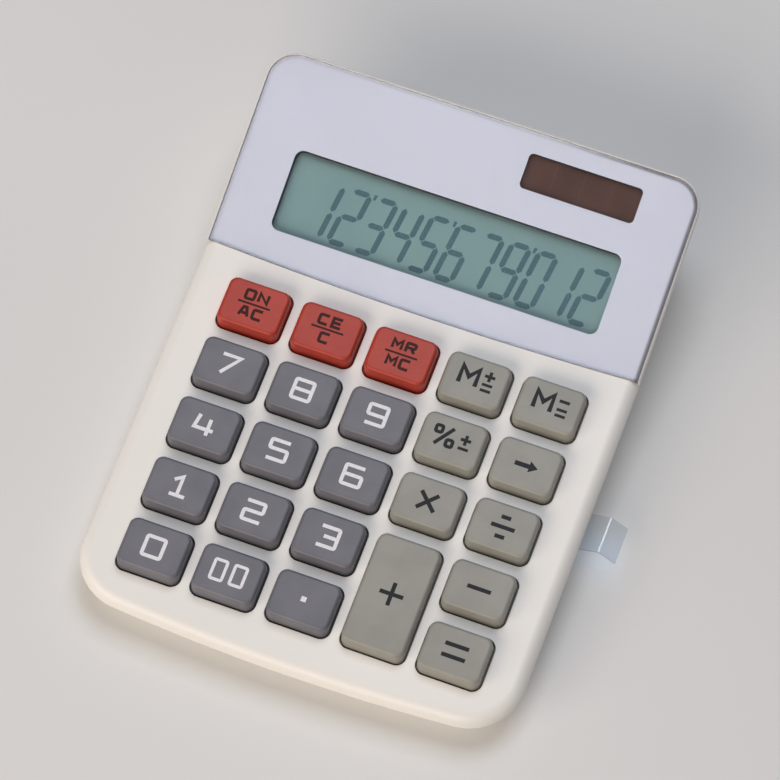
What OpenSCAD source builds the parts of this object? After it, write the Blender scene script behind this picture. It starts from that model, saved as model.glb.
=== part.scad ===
// Desktop calculator: a two-shell case with a sloped display head, a rubber-dome keyboard,
// a liquid-crystal display, a solar cell and a coin cell.
// Millimetres, +Z up, +Y away from the user. The origin is the middle of the case's
// footprint on the desk.

/* [Case] */
// Width of the case at its widest line
case_w = 112; // [102:1:122]
// Length of the key deck along its slope, from the front edge to the crease of the head
deck_l = 95.2; // [86:0.1:104]
// Length of the sloped head, from the crease to its top edge
head_l = 52.7; // [48:0.1:58]
// Height of the deck surface above the desk at the front edge
front_h = 11; // [11:0.5:15]
// Slope of the key deck in degrees
deck_slope = 4; // [3.5:0.25:6]
// Slope of the display head in degrees
head_slope = 18; // [16:0.5:24]
// Radius of the front corners seen from above
front_corner_r = 14; // [12:0.5:17]
// Radius of the rear corners seen from above
rear_corner_r = 7.8; // [7:0.1:12]
// Radius of the gently bowed front edge
front_bow_r = 550; // [500:10:1200]
// Rounding of the deck's outer edge, which also sets the depth of the widest line
deck_edge_r = 3.2; // [2.6:0.1:4]
// How far the floor's outline lies inside the widest line
undercut = 5; // [3.5:0.25:5.5]
// Rounding of the floor's outer edge
floor_edge_r = 1.2; // [0.6:0.1:1.8]
// Wall thickness of both shells
wall = 2; // [1.7:0.1:2.2]
// Depth of the parting line below the deck surface
parting_depth = 6; // [5:0.25:7]

/* [Keys] */
// Distance from the side of the case to the middle of the outer key columns
key_side = 18; // [17.5:0.1:20]
// Distance from the front edge to the middle of the first key row
key_front = 17; // [16:0.1:18]
// Distance from the crease to the middle of the last key row
key_rear = 12.4; // [12:0.1:14]
// Gap between the caps of neighbouring columns, at the deck
column_gap = 3.2; // [3:0.1:4.5]
// Gap between the caps of neighbouring rows, at the deck
row_gap = 3.65; // [3.5:0.05:5]
// Height of a key cap above the deck
key_rise = 3.8; // [3:0.1:5]
// Corner radius of a key cap seen from above
key_corner_r = 2.1; // [1.6:0.1:3]
// Rounding of a key cap's top edges
key_edge_r = 0.9; // [0.5:0.1:1.2]
// How far the front and rear of a key cap lean in over its height
key_lean = 0.5; // [0.2:0.05:0.8]
// How far the left and right side of a key cap lean in over its height
key_side_lean = 0.1; // [0.05:0.05:0.5]
// Wall thickness of a key cap
key_wall = 1.2; // [1:0.1:1.5]
// Travel of a key
key_travel = 2; // [1.5:0.1:2.2]
// Room left under the flange of a fully pressed key
bottom_out = 0.7; // [0.4:0.1:0.9]
// Width of the retaining flange beyond the key opening
flange_lip = 0.4; // [0.4:0.05:0.5]
// Thickness of the retaining flange
flange_t = 0.9; // [0.7:0.1:1.1]
// Radius of the plunger in the middle of a key
plunger_r = 2.4; // [1.8:0.1:3]

/* [Keypad and board] */
// Radius of a dome at the sheet
dome_r = 4.6; // [3.8:0.1:5]
// Radius of a dome at its top
dome_top_r = 2.6; // [2:0.1:3]
// Thickness of a dome's rubber
dome_skin = 0.7; // [0.5:0.1:0.9]
// Thickness of the rubber sheet
sheet_t = 0.7; // [0.6:0.1:0.9]
// Thickness of the circuit board
board_t = 1.2; // [1:0.1:1.4]
// Width of the board beyond the outer keys
board_margin = 2; // [1.5:0.1:2.2]
// Radius of the board's corners
board_corner_r = 5; // [4:0.5:6]
// Radius of the chip's epoxy cover
chip_r = 6; // [5:0.5:8]
// Height of the chip's epoxy cover
chip_h = 1.8; // [1.4:0.1:2.2]
// Diameter of the buffer capacitor
cap_d = 5; // [4:0.5:6]
// Height of the buffer capacitor
cap_h = 4; // [3:0.1:4.2]

/* [Display] */
// Thickness of the clear plate
plate_t = 2; // [1.6:0.1:2.2]
// Rounding of the plate's outer edge
plate_edge_r = 1; // [0.5:0.1:1.4]
// Radius of the bowed seam in front of the plate
seam_bow_r = 1100; // [800:10:1600]
// Distance from the crease to the plate, in the middle
seam_s = 0.2; // [0.1:0.1:0.6]
// Thickness of the printed backing sheet
backing_t = 0.2; // [0.15:0.05:0.3]
// Width of the plate's clear rim outside the backing sheet
backing_inset = 0.4; // [0.3:0.1:1]
// Distance from the side of the case to the display window
lcd_side = 13.8; // [13.4:0.1:17]
// Distance from the crease to the display window
lcd_margin = 9; // [9:0.1:11]
// Distance between the display window and the solar window, along the slope
window_gap = 8; // [7.8:0.1:10]
// Corner radius of the display window
lcd_window_r = 2.2; // [1.2:0.1:3]
// How far the display glass reaches past its window
lcd_lap = 3.2; // [2.6:0.1:3.4]
// Thickness of the display glass
lcd_t = 2.2; // [1.8:0.1:2.6]
// Thickness of the display retainer
retainer_t = 1.5; // [1.2:0.1:2]
// Width of the retainer's rim
retainer_rim = 1.2; // [1:0.1:1.4]
// Radius of the retainer's screw ears
ear_r = 2.2; // [2:0.1:2.4]
// Width of the flat ribbon
ribbon_w = 70; // [50:1:76]
// Thickness of the flat ribbon
ribbon_t = 0.2; // [0.15:0.05:0.3]
// Length of the ribbon's bonds on the glass and on the board
ribbon_bond = 3; // [2:0.1:3.4]

/* [Solar cell] */
// Width of the solar window
solar_window_w = 29.3; // [26:0.1:31]
// Length of the solar window along the slope
solar_window_l = 9; // [8:0.1:9.5]
// Corner radius of the solar window
solar_window_r = 1.2; // [0.8:0.1:2]
// Distance from the side of the case to the solar window
solar_side = 14.35; // [13.5:0.05:17]
// Distance from the solar window to the top edge of the head
solar_margin = 5.9; // [5.2:0.1:6]
// How far the solar cell reaches past its window
solar_lap = 1.8; // [1.2:0.1:1.9]
// Thickness of the solar cell
solar_t = 1.2; // [0.9:0.1:1.4]
// Thickness of the pocket's floor under the solar cell
solar_floor = 0.9; // [0.7:0.1:1.2]
// Radius of a solar lead
lead_r = 0.5; // [0.4:0.05:0.7]
// Half the distance between the two solar leads
lead_spread = 7; // [5:0.5:9]
// How far the leads hang below what they pass under
lead_drop = 2; // [1.5:0.1:2.5]

/* [Battery] */
// Diameter of the coin cell
cell_d = 20; // [16:0.5:20]
// Thickness of the coin cell
cell_t = 3.2; // [2.5:0.1:3.2]
// Height of the step round the top of the coin cell
cell_step = 0.6; // [0.4:0.1:0.8]
// Distance from the side of the case to the middle of the coin cell
cell_side = 19; // [18.5:0.1:20]
// Distance from the front edge to the middle of the coin cell
cell_front = 60.3; // [59:0.1:61]
// Thickness of the battery door under the cell
door_t = 1.4; // [1.3:0.05:1.5]
// Height of the door's outer end above the floor's underside
door_end_h = 3; // [2.6:0.1:3.2]
// Width of the door's sliding tongues
tongue_w = 1; // [0.8:0.1:1.2]
// Thickness of the door's sliding tongues
tongue_t = 0.7; // [0.6:0.05:0.75]
// Thickness of the walls round the coin cell
cell_wall = 1.2; // [1:0.1:1.5]
// Thickness of the contact metal
contact_t = 0.4; // [0.3:0.05:0.5]
// Width of the contact leaves
contact_w = 6; // [4:0.5:8]
// Length of the spring's foot, soldered to the board
spring_foot = 5; // [4:0.1:7]
// Length of the spring's sloping part
spring_run = 3.4; // [2.5:0.1:4]
// Length of the spring's flat tip
spring_tip = 1.6; // [1.2:0.1:3]
// Width of the pull tab's film
tab_w = 9.6; // [8:0.1:11]
// Thickness of the pull tab's film
tab_t = 0.2; // [0.15:0.05:0.3]
// How far the film reaches past the middle of the cell
tab_grip = 5; // [4:0.5:7]
// How far the film's fold lies outside the widest line of the case
tab_fold = 4.5; // [3:0.1:6]
// How far the film's end lies outside the widest line of the case
tab_reach = 8.6; // [7:0.1:10]
// Height of the film's fold above its slot
tab_rise = 2; // [1:0.1:3]
// Drop of the film's end below its fold
tab_drop = 3.4; // [2:0.1:3.5]

/* [Fasteners and feet] */
// Radius of the screws' shanks
screw_r = 1; // [0.8:0.05:1.1]
// Radius of the screws' heads
screw_head_r = 1.9; // [1.6:0.05:2.1]
// Thickness of the screws' heads
screw_head_t = 1.2; // [1:0.1:1.4]
// Length of the case screws
case_screw_l = 7; // [6:0.1:7.2]
// Length of the board screws
board_screw_l = 4.6; // [4:0.1:5]
// Length of the retainer screws
retainer_screw_l = 4; // [3.6:0.1:4.4]
// Radius of the screw bosses among the keys
boss_r = 1.8; // [1.6:0.05:1.9]
// Radius of the screw tubes in the lower shell
tube_r = 3.2; // [3:0.1:3.6]
// Distance from the side of the case to the rear case screws
rear_screw_side = 10; // [9.5:0.1:11]
// Distance of the rear case screws from the top edge of the head, seen from above
rear_screw_in = 11.5; // [11:0.5:13]
// Height where the rear screw tubes meet their bosses
rear_joint_h = 13; // [12.5:0.5:14]
// Thickness of the tube floor under a case screw's joint
screw_land = 3; // [2.4:0.1:3.2]
// Height of the feet below the floor
feet_h = 1; // [0.8:0.1:1.6]
// Radius of a foot
foot_r = 4; // [3:0.5:5]
// Depth of a foot's seat in the floor
foot_seat = 0.5; // [0.3:0.1:0.8]
// Distance from the side of the case to the feet
foot_side = 18; // [17:0.5:22]
// Distance of the feet from the front and rear edges, seen from above
foot_in = 13.5; // [13:0.5:16]

/* [Clearances] */
// Gap between a key cap and its opening
key_gap = 0.45; // [0.3:0.05:0.45]
// Gap between a pressed piece and what it rests on
touch_gap = 0.1; // [0.05:0.05:0.15]
// Gap round loosely fitted pieces
slip = 0.3; // [0.2:0.05:0.35]
// Gap between a screw and its hole
screw_gap = 0.05; // [0.03:0.01:0.1]
// Gap round the sliding battery door
door_gap = 0.25; // [0.2:0.05:0.3]

/* [Hidden] */
$fn = 48;
column_count = 5;
row_count = 5;
cream = "#e6ddd2";
key_red = "#9c4f47";
key_dark = "#74737a";
key_pale = "#96948f";
steel = "#b9bcc0";
black_rubber = "#2b2b2d";

// Name, column, row from the top, rows it spans and colour of every key
KEYS = [
    ["key_on", 0, 0, 1, key_red],
    ["key_clear", 1, 0, 1, key_red],
    ["key_memory_recall", 2, 0, 1, key_red],
    ["key_memory_plus", 3, 0, 1, key_pale],
    ["key_memory_minus", 4, 0, 1, key_pale],
    ["key_7", 0, 1, 1, key_dark],
    ["key_8", 1, 1, 1, key_dark],
    ["key_9", 2, 1, 1, key_dark],
    ["key_percent", 3, 1, 1, key_pale],
    ["key_delete_last", 4, 1, 1, key_pale],
    ["key_4", 0, 2, 1, key_dark],
    ["key_5", 1, 2, 1, key_dark],
    ["key_6", 2, 2, 1, key_dark],
    ["key_multiply", 3, 2, 1, key_pale],
    ["key_divide", 4, 2, 1, key_pale],
    ["key_1", 0, 3, 1, key_dark],
    ["key_2", 1, 3, 1, key_dark],
    ["key_3", 2, 3, 1, key_dark],
    ["key_plus", 3, 3, 2, key_pale],
    ["key_minus", 4, 3, 1, key_pale],
    ["key_0", 0, 4, 1, key_dark],
    ["key_double_zero", 1, 4, 1, key_dark],
    ["key_point", 2, 4, 1, key_dark],
    ["key_equals", 4, 4, 1, key_pale]
];
// Board screws and front case screws stand where four keys meet: columns and rows from the middle key
BOARD_SCREWS = [[-1.5, 1.5], [1.5, 1.5], [0.5, 0.5], [-0.5, -0.5], [-1.5, -1.5]];
FRONT_SCREWS = [[-1.5, -0.5], [1.5, -0.5]];
// Columns from the middle key at which the chip and the capacitor sit, under the rear key row
chip_column = -0.5;
cap_column = -1.5;

PIECES = [
    "top_case", "bottom_case", "display_plate", "plate_backing", "lcd_cell", "lcd_retainer",
    "retainer_screws", "lcd_ribbon", "solar_cell", "solar_leads", "rubber_keypad", "main_board",
    "board_screws", "chip_cover", "capacitor", "coin_cell", "cell_spring", "cell_clip",
    "battery_door", "battery_pull_tab", "rubber_feet", "case_screws"
];

// Case outline
half_w = case_w / 2;
rise = head_slope - deck_slope;
deck_run = deck_l * cos(deck_slope);
head_run = head_l * cos(head_slope);
case_l = deck_run + head_run;
front_y = -case_l / 2;
crease_y = front_y + deck_run;
corner_x = half_w - front_corner_r;
corner_y = front_bow_r - sqrt(pow(front_bow_r - front_corner_r, 2) - pow(corner_x, 2));
bow_turn = atan2(corner_x, front_bow_r - corner_y);
arc_steps = 12;
edge_step = 22.5;
film = 0.01;
past = 1;
far = 400;
bend_swell = 0.05;
block_lap = 2;
crease_land = 3;
cavity_lap = 2.5;
flank_step = 0.4;

// Key grid
col_pitch = (case_w - 2 * key_side) / (column_count - 1);
row_pitch = (deck_l - key_front - key_rear) / (row_count - 1);
key_w = col_pitch - column_gap;
key_l = row_pitch - row_gap;

// Heights of the stack under the deck, measured down from the deck surface
flange_top = wall + touch_gap;
flange_bottom = flange_top + flange_t;
dome_top = flange_bottom + touch_gap;
sheet_top = flange_bottom + key_travel + bottom_out;
dome_h = sheet_top - dome_top;
board_top = sheet_top + sheet_t;
board_bottom = board_top + board_t;

// Depths under the head's surface
seat_depth = plate_t + backing_t;
lcd_top = seat_depth + wall;
lcd_bottom = lcd_top + lcd_t;
retainer_top = lcd_bottom + touch_gap;
retainer_bottom = retainer_top + retainer_t;
solar_top = seat_depth + touch_gap;
solar_bottom = solar_top + solar_t;
pocket_depth = solar_bottom + touch_gap;

// Plan sizes of the display and solar pieces
lcd_window_w = case_w - 2 * lcd_side;
lcd_window_l = head_l - lcd_margin - window_gap - solar_window_l - solar_margin;
lcd_s = lcd_margin + lcd_window_l / 2;
solar_x = half_w - solar_side - solar_window_w / 2;
solar_s = head_l - solar_margin - solar_window_l / 2;
lcd_w = lcd_window_w + 2 * lcd_lap;
lcd_l = lcd_window_l + 2 * lcd_lap;
lcd_front = lcd_s - lcd_l / 2;
ear_x = lcd_w / 2 + slip + retainer_rim + ear_r;
solar_w = solar_window_w + 2 * solar_lap;
solar_l = solar_window_l + 2 * solar_lap;

// Board outline
board_w = (column_count - 1) * col_pitch + key_w + 2 * board_margin;
board_front = key_front - key_l / 2 - key_gap;
board_rear = deck_l;
middle_row_y = key_front + (row_count - 1) / 2 * row_pitch;
rear_row_y = key_front + (row_count - 1) * row_pitch;
pad_rear = rear_row_y + key_l / 2 + key_gap + flange_lip;

// Upright case screws: the front ones pass between the keys' flanges and through the board
front_screw_y = front_y + meeting(FRONT_SCREWS[0])[1] * cos(deck_slope)
    + (flange_bottom + board_bottom) / 2 * sin(deck_slope);
front_joint_h = deck_height(front_screw_y - tube_r, board_bottom + slip);
rear_screw_y = -front_y - rear_screw_in;
pilot_r = screw_r + screw_gap;
pilot_l = case_screw_l - screw_land + slip;
embed = wall / 2;

// Battery place and heights above the desk
cell_x = half_w - cell_side;
cell_y = front_y + cell_front;
floor_top = feet_h + wall;
cell_bottom = feet_h + door_t + door_gap;
cell_top = cell_bottom + cell_t;
tab_z = cell_top + touch_gap + tab_t / 2;
cell_r = cell_d / 2;
bay_half = cell_r + slip;
bay_inner_x = cell_x - cell_r - slip - contact_t - slip;
tongue_z = feet_h + (door_t - tongue_t);

function arc(centre, r, from, to) =
    [for (i = [0:arc_steps]) let (a = from + (to - from) * i / arc_steps)
        centre + r * [cos(a), sin(a)]];

function bow(r, from, to) =
    [for (i = [1:arc_steps - 1]) let (a = from + (to - from) * i / arc_steps)
        [r * cos(a), front_bow_r + r * sin(a)]];

// Outline of the key deck, inset by d, ending square at y = end
function deck_outline(d, end) = concat(
    arc([-corner_x, corner_y], front_corner_r - d, 180, 270 - bow_turn),
    bow(front_bow_r - d, 270 - bow_turn, 270 + bow_turn),
    arc([corner_x, corner_y], front_corner_r - d, 270 + bow_turn, 360),
    [[half_w - d, end], [-half_w + d, end]]
);

// Outline of the head, inset by d, from y = start to its rear edge at y = end
function head_outline(d, start, end) = concat(
    [[-half_w + d, start], [half_w - d, start]],
    arc([half_w - rear_corner_r, end - rear_corner_r], rear_corner_r - d, 0, 90),
    arc([-half_w + rear_corner_r, end - rear_corner_r], rear_corner_r - d, 90, 180)
);

// Points along the bowed seam, moved back by gap
function seam(gap) =
    let (turn = asin((half_w + past) / seam_bow_r))
    [for (i = [0:arc_steps]) let (a = 270 - turn + 2 * turn * i / arc_steps)
        [seam_bow_r * cos(a), seam_s + gap + seam_bow_r + seam_bow_r * sin(a)]];

// Everything on one side of the seam, as far as y = end
function beside_seam(gap, end) = concat(seam(gap), [[half_w + past, end], [-half_w - past, end]]);

function unit(v) = v / norm(v);
function left_of(v) = [-v[1], v[0]];
function side_at(path, i) =
    let (
        before = unit(path[max(i, 1)] - path[max(i, 1) - 1]),
        after = unit(path[min(i, len(path) - 2) + 1] - path[min(i, len(path) - 2)]),
        n = unit(left_of(before + after))
    )
    n / (n * left_of(after));

// Closed outline of a strip of thickness t along a path
function strip(path, t) = concat(
    [for (i = [0:len(path) - 1]) path[i] + side_at(path, i) * t / 2],
    [for (i = [len(path) - 1:-1:0]) path[i] - side_at(path, i) * t / 2]
);

// A point of the head, s along its slope and z above its surface, in the deck's frame
function on_deck_plane(s, z) =
    [deck_l + s * cos(rise) - z * sin(rise), s * sin(rise) + z * cos(rise)];

// Height above the desk of a plane that lies depth below the deck surface
function deck_height(y, depth) =
    front_h + (y - front_y) * tan(deck_slope) - depth / cos(deck_slope);

// Height above the desk of a plane that lies depth below the head's surface
function head_height(y, depth) =
    deck_height(crease_y, 0) + (y - crease_y) * tan(head_slope) - depth / cos(head_slope);

function key_x(k) = (k[1] - (column_count - 1) / 2) * col_pitch;
function key_y(k) = key_front + (row_count - 1 - k[2] - (k[3] - 1) / 2) * row_pitch;
function key_length(k) = key_l + (k[3] - 1) * row_pitch;
function meeting(at) = [at[0] * col_pitch, middle_row_y + at[1] * row_pitch];

module on_deck() {
    translate([0, front_y, front_h]) rotate([deck_slope, 0, 0]) children();
}

module on_head() {
    on_deck() translate([0, deck_l, 0]) rotate([rise, 0, 0]) children();
}

module rounded_rect(w, l, r) {
    square([w - 2 * r, l], center = true);
    square([w, l - 2 * r], center = true);
    for (x = [-1, 1])
        for (y = [-1, 1])
            translate([x * (w / 2 - r), y * (l / 2 - r)]) circle(r);
}

module slab(points, z) {
    translate([0, 0, z - film]) linear_extrude(film) polygon(points);
}

// Front block of the case, from the floor up to the deck
module deck_block(inset, drop, end) {
    r = deck_edge_r - inset / 2;
    hull() {
        on_deck()
            for (a = [0:edge_step:90])
                slab(deck_outline(inset + r * (1 - sin(a)), end), -drop - r * (1 - cos(a)));
        translate([0, front_y, feet_h + inset]) {
            slab(deck_outline(inset + undercut + floor_edge_r, end * cos(deck_slope)), film);
            slab(deck_outline(inset + undercut, end * cos(deck_slope)), floor_edge_r);
        }
    }
}

// Rounded upper edge of the head, from the surface down to its flank
module head_edge(inset, drop, start) {
    r = plate_edge_r;
    for (a = [0:edge_step:90])
        slab(head_outline(inset + r * (1 - sin(a)), start, head_l), -drop - r * (1 - cos(a)));
}

// Rear block of the case, from the floor up to the head
module head_block(inset, drop, start) {
    flank = max(deck_edge_r, drop + plate_edge_r + flank_step);
    hull() {
        on_head() {
            head_edge(inset, drop, start);
            slab(head_outline(inset, start, head_l), -flank);
        }
        translate([0, crease_y, feet_h + inset]) {
            slab(head_outline(inset + undercut + floor_edge_r, start, head_run), film);
            slab(head_outline(inset + undercut, start, head_run), floor_edge_r);
        }
    }
}

module case_block() {
    deck_block(0, 0, deck_l + block_lap);
    head_block(0, 0, 0);
}

module cavity() {
    deck_block(wall, wall, deck_l - crease_land);
    head_block(wall, seat_depth + wall, -crease_land - cavity_lap);
}

module above_parting() {
    on_deck() translate([-far / 2, -far / 2, -parting_depth]) cube(far);
}

module below_parting() {
    on_deck() translate([-far / 2, -far / 2, -parting_depth - far]) cube(far);
}

module screw(length) {
    cylinder(r = screw_r, h = length);
    translate([0, 0, -screw_head_t]) cylinder(r = screw_head_r, h = screw_head_t);
}

module at_front_screws() {
    for (at = FRONT_SCREWS)
        translate([meeting(at)[0], front_screw_y, 0]) children();
}

module at_rear_screws() {
    for (x = [-1, 1])
        translate([x * (half_w - rear_screw_side), rear_screw_y, 0]) children();
}

module at_board_screws() {
    on_deck()
        for (at = BOARD_SCREWS)
            translate([meeting(at)[0], meeting(at)[1], -board_bottom]) children();
}

module at_retainer_screws() {
    on_head()
        for (x = [-1, 1])
            translate([x * ear_x, lcd_s, -retainer_bottom]) children();
}

// Bosses inside the upper shell
module top_bosses() {
    at_board_screws()
        translate([0, 0, board_t]) cylinder(r = boss_r, h = board_top - wall + embed);
    at_front_screws()
        translate([0, 0, front_joint_h])
            cylinder(r = boss_r, h = deck_height(front_screw_y, wall - embed) - front_joint_h);
    at_rear_screws()
        translate([0, 0, rear_joint_h])
            cylinder(r = tube_r, h = head_height(rear_screw_y, seat_depth) - rear_joint_h);
    at_retainer_screws()
        translate([0, 0, retainer_t]) cylinder(r = ear_r, h = retainer_top - lcd_top + embed);
    on_head()
        translate([solar_x, solar_s, -pocket_depth - solar_floor])
            linear_extrude(pocket_depth + solar_floor - lcd_top + embed)
                square([solar_w + 2 * wall, solar_l + wall], center = true);
}

// Holes for the screws that hold things to the upper shell
module top_pilots() {
    at_board_screws() cylinder(r = pilot_r, h = board_screw_l + slip);
    at_front_screws() translate([0, 0, front_joint_h - past]) cylinder(r = pilot_r, h = pilot_l + past);
    at_rear_screws() translate([0, 0, rear_joint_h - past]) cylinder(r = pilot_r, h = pilot_l + past);
    at_retainer_screws() cylinder(r = pilot_r, h = retainer_screw_l + slip);
}

// Openings that the key caps come up through
module key_openings() {
    for (k = KEYS)
        translate([key_x(k), key_y(k), -wall - past])
            linear_extrude(wall + 2 * past)
                rounded_rect(key_w + 2 * key_gap, key_length(k) + 2 * key_gap, key_corner_r + key_gap);
}

// What would stand above the deck between the crease and the seam, so that the deck runs level to the seam
module seam_land() {
    translate([-far / 2, deck_l - film, 0]) cube([far, crease_land, past]);
}

// Seat of the display plate, with the display window, the solar pocket and the holes of its leads
module head_seat() {
    translate([0, 0, -seat_depth])
        linear_extrude(seat_depth + past) polygon(beside_seam(0, head_l + past));
    translate([0, lcd_s, -lcd_top - past])
        linear_extrude(lcd_top + past) rounded_rect(lcd_window_w, lcd_window_l, lcd_window_r);
    translate([solar_x, solar_s, -pocket_depth])
        linear_extrude(pocket_depth) square([solar_w + 2 * slip, solar_l + 2 * slip], center = true);
    for (x = [-1, 1])
        translate([solar_x + x * lead_spread, solar_s, -pocket_depth - solar_floor - past])
            cylinder(r = lead_r + slip, h = pocket_depth);
}

module top_case() {
    color(cream)
        difference() {
            union() {
                difference() {
                    intersection() {
                        case_block();
                        above_parting();
                    }
                    cavity();
                }
                top_bosses();
            }
            on_deck() {
                key_openings();
                seam_land();
            }
            on_head() head_seat();
            top_pilots();
        }
}

// Screw tubes and battery walls that stand on the floor
module bottom_posts() {
    foot_z = floor_top - embed;
    wall_h = cell_top - touch_gap - foot_z;
    bay_l = 2 * (bay_half + cell_wall);
    at_front_screws() translate([0, 0, foot_z]) cylinder(r = tube_r, h = front_joint_h - foot_z);
    at_rear_screws() translate([0, 0, foot_z]) cylinder(r = tube_r, h = rear_joint_h - foot_z);
    translate([bay_inner_x - cell_wall, cell_y - bay_l / 2, foot_z]) cube([cell_wall, bay_l, wall_h]);
    for (edge = [-bay_l / 2, bay_half])
        translate([bay_inner_x, cell_y + edge, foot_z])
            cube([cell_x + cell_r - bay_inner_x, cell_wall, wall_h]);
}

// Opening for the battery door, with the grooves of its tongues
module door_opening(gap) {
    inner = cell_x - cell_r - slip;
    translate([inner - gap, cell_y - bay_half - gap, -past])
        cube([far, 2 * (bay_half + gap), feet_h + door_end_h + gap + past]);
    translate([inner - gap, cell_y - bay_half - tongue_w - gap, tongue_z - gap / 2])
        cube([far, 2 * (bay_half + tongue_w + gap), tongue_t + gap]);
}

module bottom_case() {
    hole_r = screw_r + slip;
    head_hole_r = screw_head_r + slip;
    color(cream)
        difference() {
            union() {
                difference() {
                    intersection() {
                        case_block();
                        below_parting();
                    }
                    cavity();
                }
                bottom_posts();
            }
            at_front_screws() {
                cylinder(r = head_hole_r, h = front_joint_h - screw_land);
                cylinder(r = hole_r, h = front_joint_h + past);
            }
            at_rear_screws() {
                cylinder(r = head_hole_r, h = rear_joint_h - screw_land);
                cylinder(r = hole_r, h = rear_joint_h + past);
            }
            at_feet() cylinder(r = foot_r + touch_gap, h = feet_h + foot_seat);
            door_opening(0);
            translate([cell_x + cell_r, cell_y - tab_w / 2 - slip, tab_z - tab_t / 2 - slip])
                cube([far, tab_w + 2 * slip, tab_t + 2 * slip]);
        }
}

module at_feet() {
    for (x = [-1, 1])
        for (y = [-1, 1])
            translate([x * (half_w - foot_side), y * (case_l / 2 - foot_in), 0]) children();
}

module rubber_feet() {
    color(black_rubber) at_feet() cylinder(r = foot_r, h = feet_h + foot_seat);
}

module case_screws() {
    color(steel) {
        at_front_screws() translate([0, 0, front_joint_h - screw_land]) screw(case_screw_l);
        at_rear_screws() translate([0, 0, rear_joint_h - screw_land]) screw(case_screw_l);
    }
}

module display_plate() {
    color("#eef1f4", 0.4)
        on_head()
            difference() {
                hull() {
                    head_edge(0, 0, 0);
                    slab(head_outline(0, 0, head_l), film - plate_t);
                }
                translate([0, 0, -plate_t - past])
                    linear_extrude(plate_t + 2 * past) polygon(beside_seam(touch_gap, -past));
            }
}

module plate_backing() {
    color("#cfcedb")
        on_head()
            translate([0, 0, -seat_depth])
                linear_extrude(backing_t)
                    difference() {
                        intersection() {
                            polygon(head_outline(backing_inset, 0, head_l));
                            polygon(beside_seam(backing_inset, head_l));
                        }
                        translate([0, lcd_s]) rounded_rect(lcd_window_w, lcd_window_l, lcd_window_r);
                        translate([solar_x, solar_s])
                            rounded_rect(solar_window_w, solar_window_l, solar_window_r);
                    }
}

module lcd_cell() {
    color("#8fa29b")
        on_head()
            translate([0, lcd_s, -lcd_bottom])
                linear_extrude(lcd_t) square([lcd_w, lcd_l], center = true);
}

module lcd_retainer() {
    tray_w = lcd_w + 2 * slip + 2 * retainer_rim;
    tray_rear = lcd_l / 2 + slip + retainer_rim;
    tray_front = lcd_l / 2 - ribbon_bond - 2 * slip;
    rim_h = retainer_bottom - lcd_top - touch_gap;
    color("#d9d9d6")
        difference() {
            union() {
                on_head() translate([0, lcd_s, -retainer_bottom]) {
                    translate([-tray_w / 2, -tray_front, 0]) cube([tray_w, tray_front + tray_rear, rim_h]);
                    translate([-ear_x, -ear_r, 0]) cube([2 * ear_x, 2 * ear_r, retainer_t]);
                }
                at_retainer_screws() cylinder(r = ear_r, h = retainer_t);
            }
            on_head()
                translate([0, lcd_s, -lcd_bottom - touch_gap])
                    linear_extrude(far) square([lcd_w + 2 * slip, lcd_l + 2 * slip], center = true);
            at_retainer_screws() translate([0, 0, -past]) cylinder(r = pilot_r, h = retainer_t + 2 * past);
        }
}

module retainer_screws() {
    color(steel) at_retainer_screws() screw(retainer_screw_l);
}

module lcd_ribbon() {
    lift = ribbon_t / 2 + film;
    path = [
        on_deck_plane(lcd_front + ribbon_bond, -lcd_bottom - lift),
        on_deck_plane(lcd_front, -lcd_bottom - lift),
        [board_rear, -board_top + lift],
        [board_rear - ribbon_bond, -board_top + lift]
    ];
    color("#c9a45c")
        on_deck()
            rotate([90, 0, 90]) linear_extrude(ribbon_w, center = true) polygon(strip(path, ribbon_t));
}

module solar_cell() {
    color("#5a4540")
        on_head()
            translate([solar_x, solar_s, -solar_bottom])
                linear_extrude(solar_t) square([solar_w, solar_l], center = true);
}

module rod(from, to, r) {
    v = to - from;
    translate(from) rotate([0, acos(v[2] / norm(v)), atan2(v[1], v[0])]) cylinder(r = r, h = norm(v));
}

// Two leads from the solar cell, under the display and on to the underside of the board
module solar_leads() {
    bend_r = lead_r + bend_swell;
    start = on_deck_plane(solar_s, -solar_bottom - touch_gap);
    bend = on_deck_plane(solar_s, -retainer_bottom - lead_drop);
    under = [board_rear + ribbon_bond, -board_bottom - lead_drop];
    end = [board_rear - ribbon_bond, -board_bottom - bend_r - touch_gap];
    points = [for (p = [start, bend, under, end]) [0, p[0], p[1]]];
    for (side = [-1, 1])
        color(side < 0 ? "#222222" : "#a33327")
            on_deck()
                translate([solar_x + side * lead_spread, 0, 0])
                    for (i = [1:len(points) - 1]) {
                        rod(points[i - 1], points[i], lead_r);
                        translate(points[i]) sphere(bend_r);
                    }
}

// Holes in the keypad or the board at the given meetings of four keys
module meeting_holes(places, r) {
    for (at = places) translate(meeting(at)) circle(r);
}

module rubber_keypad() {
    pad_l = pad_rear - board_front;
    cavity_h = dome_h - dome_skin;
    cavity_r = dome_r - dome_skin;
    cavity_top_r = dome_top_r - dome_skin;
    color("#4a4a4c")
        on_deck()
            difference() {
                union() {
                    translate([0, 0, -board_top])
                        linear_extrude(sheet_t)
                            difference() {
                                translate([0, board_front + pad_l / 2])
                                    rounded_rect(board_w, pad_l, board_corner_r);
                                meeting_holes(concat(BOARD_SCREWS, FRONT_SCREWS), boss_r + 2 * slip);
                            }
                    for (k = KEYS)
                        translate([key_x(k), key_y(k), -sheet_top - film])
                            cylinder(r1 = dome_r, r2 = dome_top_r, h = dome_h + film);
                }
                for (k = KEYS)
                    translate([key_x(k), key_y(k), -board_top - film])
                        cylinder(r1 = cavity_r, r2 = cavity_top_r, h = sheet_t + cavity_h);
            }
}

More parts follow.
